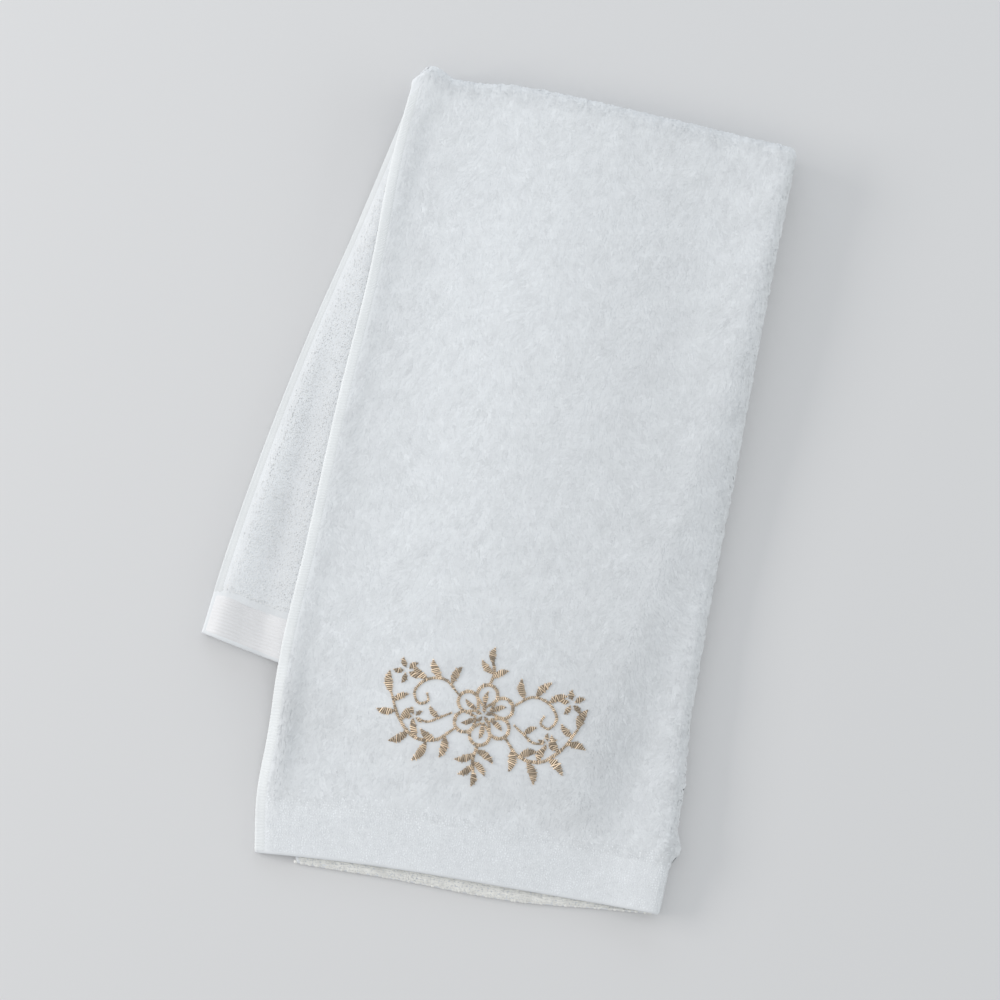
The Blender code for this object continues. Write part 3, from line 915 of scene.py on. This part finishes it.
# ---- tail loops
def build_loops(material):
    """Small uneven loops over the tail, as far in as it shows."""
    rows = int((TAIL_LENGTH - TAIL_HEM_HEIGHT - LOOP_TOP) / LOOP_ROW_PITCH)
    i, j = np.indices((int(LOOP_REACH / LOOP_PITCH), rows))
    from_hem = (i + rng.uniform(*LOOP_PLACE, i.shape)).ravel() * LOOP_PITCH
    above_hem = (j + rng.uniform(*LOOP_ROW_PLACE, j.shape)).ravel() * LOOP_ROW_PITCH
    across = (SIDE_HEM_WIDTH + from_hem) / HALF_WIDTH
    along = 3 - (TAIL_HEM_HEIGHT + above_hem) / TAIL_LENGTH
    grown = ease(np.minimum(from_hem, above_hem * END_RAMP_SHARE) / PILE_RAMP + LOOP_START)
    x, y, _ = middle(across, along).T
    shows = x < read(FRONT_SECTIONS, LEFT, y) + LOOP_COVER
    across, along, grown = across[shows], along[shows], grown[shows]
    root, normal = sheet_side(across, along, -1, -LOOP_SINK)
    count = len(root)
    row = unit(slope(across, along, SLOPE_STEP, 0.0))
    turn = rng.normal(*LOOP_TURN, count)[:, None]
    chord = unit(row * np.cos(turn) + np.cross(normal, row) * np.sin(turn))
    tilt = rng.normal(0, LOOP_TILT, count)[:, None]
    stand = unit(normal * np.cos(tilt) + np.cross(chord, normal) * np.sin(tilt))
    beside = np.cross(chord, stand)
    height = LOOP_SINK + (rng.uniform(*LOOP_HEIGHT, count) - LOOP_YARN * (1 - grown))[:, None]
    span = rng.uniform(*LOOP_SPAN, count)[:, None]
    points, shades = [], []
    for step in range(LOOP_STEPS + 1):
        t = np.pi * step / LOOP_STEPS
        centre = root - chord * span * np.cos(t) + stand * height * np.sin(t)
        heading = unit(chord * span * np.sin(t) + stand * height * np.cos(t))
        over = np.cross(heading, beside)
        for k in range(LOOP_SIDES):
            a = 2 * np.pi * k / LOOP_SIDES + np.pi / 2
            points.append(centre + (beside * np.cos(a) + over * np.sin(a)) * LOOP_YARN)
            # painted shade, darker towards the loop's feet
            shades.append(mix(ROOT_PAINTED_SHADE, 1, np.sin(t)))
    faces = repeated(tube_faces(LOOP_STEPS, LOOP_SIDES)[:, [0, 3, 2, 1]], count, len(points))
    # each loop carries the painted light and shade of its place on the tail
    tone = np.outer(rng.normal(*LOOP_TONE, count) * loops_painted_light_and_shade(across, along), shades)
    soft = np.repeat(normal, len(points), axis=0)
    return make_mesh("tail_loops", np.stack(points, axis=1), faces, material, tone, soft)


# ---- woven hems
def ribs(place, wobble):
    """Rounded ribs of 0 to 1 at places given in pitches."""
    return 0.5 - 0.5 * np.cos(2 * np.pi * (place + wobble))


def side_hem(name, first, last, length, side, height, material, light=1.0, painted_patches=()):
    """Ribs across a long edge's hem, round its rim and a little way under."""
    rows = int((last - first) * length / RIB_PITCH * RIB_CELLS)
    rim = rim_places()
    inner = np.linspace(RIM_ROUND, SIDE_HEM_WIDTH + SIDE_HEM_TUCK, SIDE_HEM_CELLS + 1)[1:]
    place = np.concatenate([-np.array(SIDE_HEM_WRAP), -rim[-2:0:-1], rim, inner])
    place, along = np.meshgrid(place, np.linspace(first, last, rows + 1), indexing="ij")
    across = np.abs(place) / HALF_WIDTH
    near, _ = sheet_side(across, along, side)
    far, _ = sheet_side(across, along, -side)
    points = np.where((place < 0)[..., None], far, near)
    out = unit(np.cross(np.gradient(points, axis=0), np.gradient(points, axis=1))) * side
    run = along * length
    wobble = RIB_WOBBLE * wave_field(run, place * WOBBLE_STRETCH, WOBBLE_LENGTH, seed=8)
    fade = ease((SIDE_HEM_WIDTH + SIDE_HEM_TUCK - place) / SIDE_HEM_TUCK)
    fade = fade * ease((last - along) * length / SIDE_HEM_TUCK)
    rise = mix(-WOVEN_SINK, WOVEN_RISE + height * ribs(run / RIB_PITCH, wobble), fade)
    points = points + out * rise[..., None]
    faces = grid_faces(*across.shape)
    if side < 0:
        faces = faces[:, ::-1]
    start, reach = SIDE_TONE_FADE
    tone = light * mix(1.0, SIDE_HEM_TONE, ease((place - start) / reach))
    # patches of painted light and shade, where the hem takes them
    tone = tone * (1 + patches(place, np.minimum(along, 3 - along) * length, painted_patches))
    return make_mesh(name, points, faces, material, tone)


def tail_end_hem(material):
    """Ribs along the tail's end hem."""
    top = TAIL_HEM_HEIGHT + HEM_BLEND / 2
    rows = int(TAIL_HEM_HEIGHT / TAIL_RIB_PITCH * TAIL_RIB_CELLS)
    across = np.linspace(0.0, TAIL_HEM_REACH, TAIL_HEM_CELLS + 1)
    across[0] = RIM_ROUND / HALF_WIDTH
    y = np.linspace(TAIL_HEM_INSET, top, rows + 1)
    across, y = np.meshgrid(across, y, indexing="ij")
    x = across * HALF_WIDTH
    wobble = TAIL_RIB_WOBBLE * wave_field(x, y, TAIL_WOBBLE_LENGTH, seed=13)
    rib = ribs(y / TAIL_RIB_PITCH, wobble) * ease((x - RIM_ROUND) / SIDE_HEM_WIDTH)
    edge = ease((y - TAIL_HEM_INSET) / TAIL_RIM_FADE) * ease((x - RIM_ROUND) / TAIL_RIM_FADE)
    edge = edge * ease((top - y) / HEM_BLEND)
    rise = mix(-WOVEN_SINK, WOVEN_RISE + TAIL_RIB_HEIGHT * rib, edge)
    points, _ = sheet_side(across, 3 - y / TAIL_LENGTH, -1, rise)
    tone = np.full(across.size, TAIL_HEM_TONE)
    return make_mesh("tail_end_hem", points, grid_faces(*across.shape), material, tone)


# ---- stitched spray
SPRAY_CENTRE = (0.0194, -0.1178)
SPRAY_TURN = -0.02
SPRAY_BOX = (0.062, 0.045)  # half of the area in which the pile minds the stitches
SPRAY_BARE = 0.0015  # flattened cloth round the stitches
SPRAY_RAGGED = (0.8, 1.3)  # unevenness of its rim, as shares
SPRAY_CLEAR = 0.0050  # where the pile stands whole again
SPRAY_LEAST = 0.35  # size of the tufts beside the stitches

STITCH_PITCH = 0.00082
STITCH_RADIUS = 0.00034
STITCH_STEPS = 4
STITCH_SIDES = 4
STITCH_LEAN = (0.22, 0.16)  # along the band as a share of its width: mean and spread
STITCH_ENDS = 0.08  # unevenness of a stitch's ends, as a share
STITCH_OVER = (-0.0002, 0.0004)  # least and most length over the band's width
STITCH_RISE = 0.00020  # of its ends over the ground
STITCH_CROWN = (0.00022, 0.14)  # of its middle over its ends: least, and share of the width
STITCH_DIP = 0.0001  # of its feet into the ground
STITCH_BLEND = 0.10  # share of the stitches that keep their neighbour's tone
STITCH_TONE = 0.09  # spread from stitch to stitch
# Strand to strand lightness: partly the thread's own tone, partly painted glints on the lighter strands and
# painted shade on the darker ones.
STRAND_TONE_AND_GLINT = 0.32  # spread from strand to strand
STRAND_TONE_AND_GLINT_RANGE = (0.52, 1.36)
# The underlay thread is darkened far below the satin's tone: painted shade in the gaps between the strands.
UNDERLAY_PAINTED_SHADE = 0.42  # of the threads under the satin stitches
UNDERLAY_HALF = 0.42  # half their width, as a share
UNDERLAY_RISE = 0.00012

# Share of a band's width left at its ends, how much of its length they take, and its fullness.
BAND_TAPER = (0.55, 0.05, 0.4)
LEAF_TAPER = (0.0, 0.03, 0.75)
LEAF_BOW = 0.10  # of a leaf's middle line, as a share of its length
BLOSSOM_PETALS = 5
PETAL_SHAPE = (0.28, 0.80, 0.52)  # foot, length and width, as shares of a blossom's radius
BLOSSOM_TURN = 0.5
LEAST_STITCHES = 4

# The middle flower: a ring of outlined petals with a leaf in each, round a small blossom.
HEART_RISE = 0.0010  # its centre over the spray's
HEART_PETALS = 6
HEART_BAND = 0.0017  # width of an outline
HEART_LEAF = (0.0046, 0.0068, 0.0026)  # foot from the centre, length and width
HEART_BLOSSOM = (0.0040, 0.3)  # radius and turn
PETAL_OUTLINE = (
    # forward, aside
    (0.0040, 0.0006), (0.0090, 0.0050), (0.0132, 0.0037), (0.0148, 0.0),
    (0.0132, -0.0037), (0.0090, -0.0050), (0.0040, -0.0006),
)
# The right half, mirrored for the left.
STEMS = (
    # width, path
    (0.0016, ((0.0125, -0.0080), (0.021, -0.0155), (0.031, -0.0160), (0.040, -0.0085), (0.0462, 0.0030))),
    (0.0014, ((0.0140, 0.0085), (0.022, 0.0142), (0.031, 0.0120), (0.0352, 0.0050), (0.0318, 0.0005),
              (0.0278, 0.0025), (0.0290, 0.0060))),
    (0.0012, ((0.0155, -0.0010), (0.021, -0.0045), (0.0262, -0.0075), (0.0310, -0.0070))),
)
LEAVES = (
    # x, y, heading, length, width
    (0.0165, -0.0125, -1.50, 0.0105, 0.0042),
    (0.0205, -0.0155, 0.45, 0.0090, 0.0038),
    (0.0250, -0.0170, -1.10, 0.0110, 0.0044),
    (0.0300, -0.0160, 1.25, 0.0080, 0.0036),
    (0.0345, -0.0135, -0.65, 0.0105, 0.0042),
    (0.0390, -0.0095, 2.15, 0.0085, 0.0036),
    (0.0425, -0.0050, -0.10, 0.0090, 0.0038),
    (0.0462, 0.0030, 1.30, 0.0105, 0.0044),
    (0.0445, -0.0010, 2.50, 0.0080, 0.0034),
    (0.0180, 0.0125, 1.90, 0.0095, 0.0038),
    (0.0235, 0.0143, 0.95, 0.0100, 0.0040),
    (0.0300, 0.0128, 0.55, 0.0095, 0.0038),
    (0.0210, -0.0045, 0.70, 0.0070, 0.0030),
)
BLOSSOMS = (
    # x, y, radius
    (0.0410, 0.0150, 0.0058),
    (0.0330, -0.0062, 0.0042),
)
# Above and below the middle flower.
SPRIGS = (
    # width, path
    (0.0016, ((0.0, 0.0160), (0.0012, 0.0215), (-0.0006, 0.0275))),
    (0.0018, ((0.0, -0.0140), (-0.0010, -0.0205), (0.0004, -0.0270))),
)
SPRIG_LEAVES = (
    # x, y, heading, length, width
    (0.0008, 0.0190, 0.65, 0.0085, 0.0034),
    (0.0008, 0.0215, 2.45, 0.0085, 0.0034),
    (-0.0006, 0.0265, 1.60, 0.0075, 0.0036),
    (-0.0004, -0.0165, -0.45, 0.0100, 0.0038),
    (-0.0006, -0.0180, 3.60, 0.0100, 0.0038),
    (-0.0006, -0.0220, -0.70, 0.0085, 0.0034),
    (-0.0002, -0.0235, 3.85, 0.0085, 0.0034),
    (0.0004, -0.0265, -1.55, 0.0070, 0.0034),
)
OUTLINE_TONE = 1.0
HEART_LEAF_TONE = 0.90
HEART_BLOSSOM_TONE = 0.82
STEM_TONE = 0.96
LEAF_TONE = 0.98
LEAF_TONE_SWING = 0.06  # from leaf to leaf, in waves across the spray
LEAF_TONE_WAVE = 900.0
BLOSSOM_TONE = 0.88
SPRIG_TONE = 0.94


def tapered(width, count, taper):
    """Widths along a band or leaf that narrows towards its ends."""
    least, ends, fullness = taper
    t = np.clip(np.linspace(0, 1, count), ends, 1 - ends)
    return width * mix(least, 1, np.sin(np.pi * t) ** fullness)


def curve_through(points, count):
    """Evenly spaced places on a smooth curve through a few points."""
    points = np.array(points, dtype=float)
    keys = np.concatenate([[0], np.cumsum(np.hypot(*np.diff(points, axis=0).T))])
    table = np.column_stack([keys, points])
    fine = np.linspace(0, keys[-1], 40)
    x, y = read(table, 1, fine), read(table, 2, fine)
    passed = np.concatenate([[0], np.cumsum(np.hypot(np.diff(x), np.diff(y)))])
    even = np.linspace(0, passed[-1], count)
    return np.column_stack([np.interp(even, passed, x), np.interp(even, passed, y)])


def leaf(base, heading, length, width):
    """A leaf filled across: its middle line and its width along it."""
    t = np.linspace(0, 1, max(int(length / STITCH_PITCH), LEAST_STITCHES))
    bow = LEAF_BOW * length * np.sin(np.pi * t)
    x = base[0] + np.cos(heading) * length * t - np.sin(heading) * bow
    y = base[1] + np.sin(heading) * length * t + np.cos(heading) * bow
    return np.column_stack([x, y]), tapered(width, len(t), LEAF_TAPER)


def band(points, width):
    """A satin band with tapered ends, along a curve."""
    length = np.sum(np.hypot(*np.diff(np.array(points), axis=0).T))
    line = curve_through(points, max(int(length / STITCH_PITCH), LEAST_STITCHES))
    return line, tapered(width, len(line), BAND_TAPER)


def blossom(x, y, radius, turn, tone):
    """Filled petals round a point."""
    foot, length, width = [share * radius for share in PETAL_SHAPE]
    petals = []
    for k in range(BLOSSOM_PETALS):
        heading = turn + 2 * np.pi * k / BLOSSOM_PETALS
        base = (x + foot * np.cos(heading), y + foot * np.sin(heading))
        petals.append((*leaf(base, heading, length, width), tone))
    return petals


def middle_flower():
    foot, length, width = HEART_LEAF
    found = []
    for k in range(HEART_PETALS):
        heading = (2 * k + 1) * np.pi / HEART_PETALS
        c, s = np.cos(heading), np.sin(heading)
        outline = [(c * f - s * a, HEART_RISE + s * f + c * a) for f, a in PETAL_OUTLINE]
        found.append((*band(outline, HEART_BAND), OUTLINE_TONE))
        base = (foot * c, HEART_RISE + foot * s)
        found.append((*leaf(base, heading, length, width), HEART_LEAF_TONE))
    return found + blossom(0.0, HEART_RISE, *HEART_BLOSSOM, HEART_BLOSSOM_TONE)


def spray_bands():
    """Every satin band of the spray, in metres about its centre: middle line, widths, tone."""
    bands = middle_flower()
    for mirror in (-1, 1):
        for width, path in STEMS:
            bands.append((*band([(mirror * x, y) for x, y in path], width), STEM_TONE))
        for x, y, heading, length, width in LEAVES:
            turn = heading if mirror > 0 else np.pi - heading
            tone = LEAF_TONE + LEAF_TONE_SWING * np.sin(x * LEAF_TONE_WAVE)
            bands.append((*leaf((mirror * x, y), turn, length, width), tone))
        for x, y, radius in BLOSSOMS:
            bands.extend(blossom(mirror * x, y, radius, BLOSSOM_TURN * mirror, BLOSSOM_TONE))
    for width, path in SPRIGS:
        bands.append((*band(path, width), SPRIG_TONE))
    for x, y, heading, length, width in SPRIG_LEAVES:
        bands.append((*leaf((x, y), heading, length, width), LEAF_TONE))
    return bands


def on_towel(line):
    """A line of the spray as places on the front."""
    c, s = np.cos(SPRAY_TURN), np.sin(SPRAY_TURN)
    return SPRAY_CENTRE + line @ np.array([(c, s), (-s, c)])


SPRAY = [(on_towel(line), widths, tone) for line, widths, tone in spray_bands()]


def stitch_distance(x, y):
    """Distance from each place to the nearest stitch, or 1 far from all of them."""
    centres = np.concatenate([spots for spots, _, _ in SPRAY])
    nearest = np.ones(len(x))
    close = (np.abs(x - SPRAY_CENTRE[0]) < SPRAY_BOX[0]) & (np.abs(y - SPRAY_CENTRE[1]) < SPRAY_BOX[1])
    for place in np.flatnonzero(close):
        nearest[place] = np.hypot(centres[:, 0] - x[place], centres[:, 1] - y[place]).min()
    return nearest


def over_ground(place, rise):
    """A point so high over the front's ground at a place."""
    ground = height_front(place[0:1], place[1:2])[0] + GROUND_THICK / 2
    return (*place, ground + rise)


def build_stitches(material):
    points, faces, tones = [], [], []
    turns = 2 * np.pi * np.arange(STITCH_SIDES) / STITCH_SIDES + np.pi / 4
    tube = tube_faces(STITCH_STEPS, STITCH_SIDES)
    for spots, widths, tone in SPRAY:
        run = unit(np.gradient(spots, axis=0))
        aside = np.column_stack([-run[:, 1], run[:, 0]])
        faces.extend(len(points) + grid_faces(len(spots), 2))
        for spot, side, width in zip(spots, aside, widths):
            # underlay darkened as painted shade between the strands
            for half in (-UNDERLAY_HALF, UNDERLAY_HALF):
                points.append(over_ground(spot + side * width * half, UNDERLAY_RISE))
                tones.append(UNDERLAY_PAINTED_SHADE)
        strand = 1.0
        for spot, side, heading, width in zip(spots, aside, run, widths):
            lean = heading * rng.normal(*STITCH_LEAN)
            first, last = rng.uniform(-STITCH_ENDS, STITCH_ENDS, 2) + (-0.5, 0.5)
            reach = width + rng.uniform(*STITCH_OVER)
            # each strand's lightness is partly its own tone, partly a painted glint or painted shade
            if rng.uniform() > STITCH_BLEND:
                strand = float(np.clip(rng.normal(1.0, STRAND_TONE_AND_GLINT), *STRAND_TONE_AND_GLINT_RANGE))
            tones.extend([tone * strand * rng.normal(1.0, STITCH_TONE)] * (len(turns) * (STITCH_STEPS + 1)))
            faces.extend(len(points) + tube)
            crown = STITCH_CROWN[0] + STITCH_CROWN[1] * width
            for step in range(STITCH_STEPS + 1):
                t = step / STITCH_STEPS
                rise = STITCH_RISE + crown * np.sin(np.pi * t)
                if step in (0, STITCH_STEPS):
                    rise = -STITCH_DIP
                x, y, z = over_ground(spot + (side + lean) * reach * mix(first, last, t), rise)
                for turn in turns:
                    along, up = STITCH_RADIUS * np.cos(turn), STITCH_RADIUS * np.sin(turn)
                    points.append((x + heading[0] * along, y + heading[1] * along, z + up))
    return make_mesh("spray_stitches", points, faces, material, tones)


# ---- materials
MOTTLE_SCALE = 90.0
MOTTLE_DARK = 0.955  # of the mottling's darker parts against its lighter ones
MOTTLE_RANGE = (0.30, 0.70)


def node(tree, kind, **inputs):
    """A node whose inputs take a value, or the output of another node."""
    made = tree.nodes.new(kind)
    for name, value in inputs.items():
        if isinstance(value, bpy.types.NodeSocket):
            tree.links.new(value, made.inputs[name])
        else:
            made.inputs[name].default_value = value
    return made


def finish(name, roughness, sheen, specular):
    """A plain finish and its shader."""
    material = bpy.data.materials.new(name)
    material.use_nodes = True
    shader = material.node_tree.nodes["Principled BSDF"]
    shader.inputs["Roughness"].default_value = roughness
    shader.inputs["Sheen Weight"].default_value = sheen
    shader.inputs["Specular IOR Level"].default_value = specular
    return material, shader


def cotton(name, colour, grain, grain_depth, roughness=0.95, sheen=0.12, specular=0.15):
    """A fibre finish: soft mottling in the colour, the piece's tone over it, which carries painted light
    and shade besides the cloth's own tone, and a fine grain in the relief."""
    material, shader = finish(name, roughness, sheen, specular)
    tree = material.node_tree
    place = tree.nodes.new("ShaderNodeTexCoord").outputs["Object"]
    mottle = node(tree, "ShaderNodeTexNoise", Vector=place, Scale=MOTTLE_SCALE, Detail=3.0)
    ramp = node(tree, "ShaderNodeValToRGB", Fac=mottle.outputs["Fac"])
    for element, position, share in zip(ramp.color_ramp.elements, MOTTLE_RANGE, (MOTTLE_DARK, 1)):
        element.position = position
        element.color = (*[c * share for c in colour], 1)
    tone = tree.nodes.new("ShaderNodeAttribute")
    tone.attribute_name = "tone"
    shade = tree.nodes.new("ShaderNodeMix")
    shade.data_type = "RGBA"
    shade.blend_type = "MULTIPLY"
    shade.inputs["Factor"].default_value = 1.0
    tree.links.new(ramp.outputs["Color"], shade.inputs[6])
    tree.links.new(tone.outputs["Color"], shade.inputs[7])
    tree.links.new(shade.outputs[2], shader.inputs["Base Color"])
    fibre = node(tree, "ShaderNodeTexNoise", Vector=place, Scale=grain, Detail=2.0)
    relief = node(tree, "ShaderNodeBump", Height=fibre.outputs["Fac"], Strength=1.0, Distance=grain_depth)
    tree.links.new(relief.outputs["Normal"], shader.inputs["Normal"])
    return material


# ---- pieces
ground = cotton("cotton_ground", (0.785, 0.81, 0.835), 1400.0, 0.00010)
velour = cotton("cotton_velour", (0.781, 0.805, 0.829), 2600.0, 0.00005)
looped = cotton("cotton_loops", (0.87, 0.885, 0.895), 3000.0, 0.00004)
woven = cotton("cotton_hem", (0.785, 0.81, 0.825), 2600.0, 0.00010)
woven_reverse = cotton("cotton_hem_reverse", (0.80, 0.80, 0.813), 2600.0, 0.00010)
# Creamier than the rest of the cotton: a painted warm cast for light bounced into the shade under the front
# hem.
under = cotton("cotton_under_painted_bounce", (0.82, 0.82, 0.795), 2600.0, 0.00006)
thread = cotton("spray_thread", (0.785, 0.628, 0.462), 5000.0, 0.00003, 0.34, 0.10, 0.60)

sheet = build_sheet(ground)
pieces = build_velour(velour)
pieces.append(build_edge_tufts(velour))
pieces.append(build_loops(looped))
pieces.append(side_hem("front_side_hem", *FRONT_HEM_RUN, FRONT_LENGTH, 1, RIB_HEIGHT, woven))
tail_end = 3 - (TAIL_HEM_HEIGHT - SIDE_HEM_TUCK) / TAIL_LENGTH
# the tail's side hem takes the loops' painted light and shade
pieces.append(side_hem("tail_side_hem", TAIL_HEM_START, tail_end, TAIL_LENGTH, -1, TAIL_SIDE_RIB, woven,
                       TAIL_SIDE_TONE, LOOP_PAINTED_LIGHT_AND_SHADE))
front_top = FRONT_HEM_HEIGHT + KNOT_FADE
pieces.append(build_knots("front_hem_knots", FRONT_KNOTS_LEFT, UNDER_START, FRONT_KNOTS_LOW, front_top,
                          1, velour, KNOT))
pieces.append(build_knots("under_hem_knots", UNDER_START, UNDER_END - SIDE_HEM_WIDTH / 2, *UNDER_KNOTS,
                          -1, under, BEAD))
pieces.append(build_rim_beads(under))
pieces.append(tail_end_hem(woven_reverse))
stitches = build_stitches(thread)

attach(sheet, "root")
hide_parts("hand_towel")
for piece in pieces:
    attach(piece, "root")
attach(stitches, "root")

# ---- stage, light and camera
VIEW_TURN = math.radians(10.2)
VIEW_HEADING = -90.0  # from the picture's foot
VIEW_HEIGHT = 80.0
VIEW_ANGLE = math.radians(24.7)
VIEW_DISTANCE = 1.142
VIEW_TARGET = Vector((0.0080, -0.0085, 0.0))
VIEW_END = 20.0
SURFACE_COLOUR = (0.704, 0.706, 0.714, 1)
SURFACE_FINISH = (0.7, 0.0, 0.15)  # roughness, sheen and specular
SURFACE_HALF = 6.0
SURFACE_DROP = 0.0002
SKY_COLOUR = (0.977, 0.993, 1.0, 1)
SKY_STRENGTH = 0.685
LIGHTS = (
    # name, heading anticlockwise from the picture's right, height, distance, size, power, colour
    ("window", 170.0, 21.0, 2.0, (1.4, 0.54), 18.5, (1.0, 0.965, 0.93)),
    ("soft_top", 140.0, 55.0, 3.0, (2.4, 2.4), 5.6, (0.80, 0.88, 1.0)),
    ("soft_back", 90.0, 20.0, 2.0, (2.0, 0.6), 5.4, (0.78, 0.88, 1.0)),
    ("soft_right", 0.0, 20.0, 2.0, (2.0, 0.6), 5.9, (0.97, 1.0, 0.98)),
)


def put(thing, heading, height, distance, target):
    """A thing that faces a target, from a heading and a height over it in degrees."""
    turn, rise = VIEW_TURN + math.radians(heading), math.radians(height)
    flat = math.cos(rise)
    way = Vector((math.cos(turn) * flat, math.sin(turn) * flat, math.sin(rise)))
    item = bpy.data.objects.new(thing.name, thing)
    item.location = target + way * distance
    item.rotation_euler = way.to_track_quat("Z", "Y").to_euler()
    bpy.context.scene.collection.objects.link(item)
    return item


def make_camera():
    camera = put(bpy.data.cameras.new("camera"), VIEW_HEADING, VIEW_HEIGHT, VIEW_DISTANCE, VIEW_TARGET)
    camera.data.sensor_fit = "HORIZONTAL"
    camera.data.angle = VIEW_ANGLE
    camera.data.clip_end = VIEW_END
    bpy.context.scene.camera = camera


def make_light(name, heading, height, distance, size, power, colour):
    light = bpy.data.lights.new(name, "AREA")
    light.shape = "RECTANGLE"
    light.size, light.size_y = size
    light.energy = power
    light.color = colour
    put(light, heading, height, distance, Vector())


def make_stage():
    points = [(x * SURFACE_HALF, y * SURFACE_HALF, 0) for x, y in ((-1, -1), (1, -1), (1, 1), (-1, 1))]
    material, shader = finish("pale_surface", *SURFACE_FINISH)
    shader.inputs["Base Color"].default_value = SURFACE_COLOUR
    floor = make_mesh("surface", points, [(0, 1, 2, 3)], material)
    floor.location.z = -SURFACE_DROP
    for light in LIGHTS:
        make_light(*light)
    world = bpy.data.worlds.new("world")
    world.use_nodes = True
    sky = world.node_tree.nodes["Background"]
    sky.inputs["Color"].default_value = SKY_COLOUR
    sky.inputs["Strength"].default_value = SKY_STRENGTH
    bpy.context.scene.world = world
    bpy.context.scene.view_settings.view_transform = "Standard"


make_stage()
make_camera()
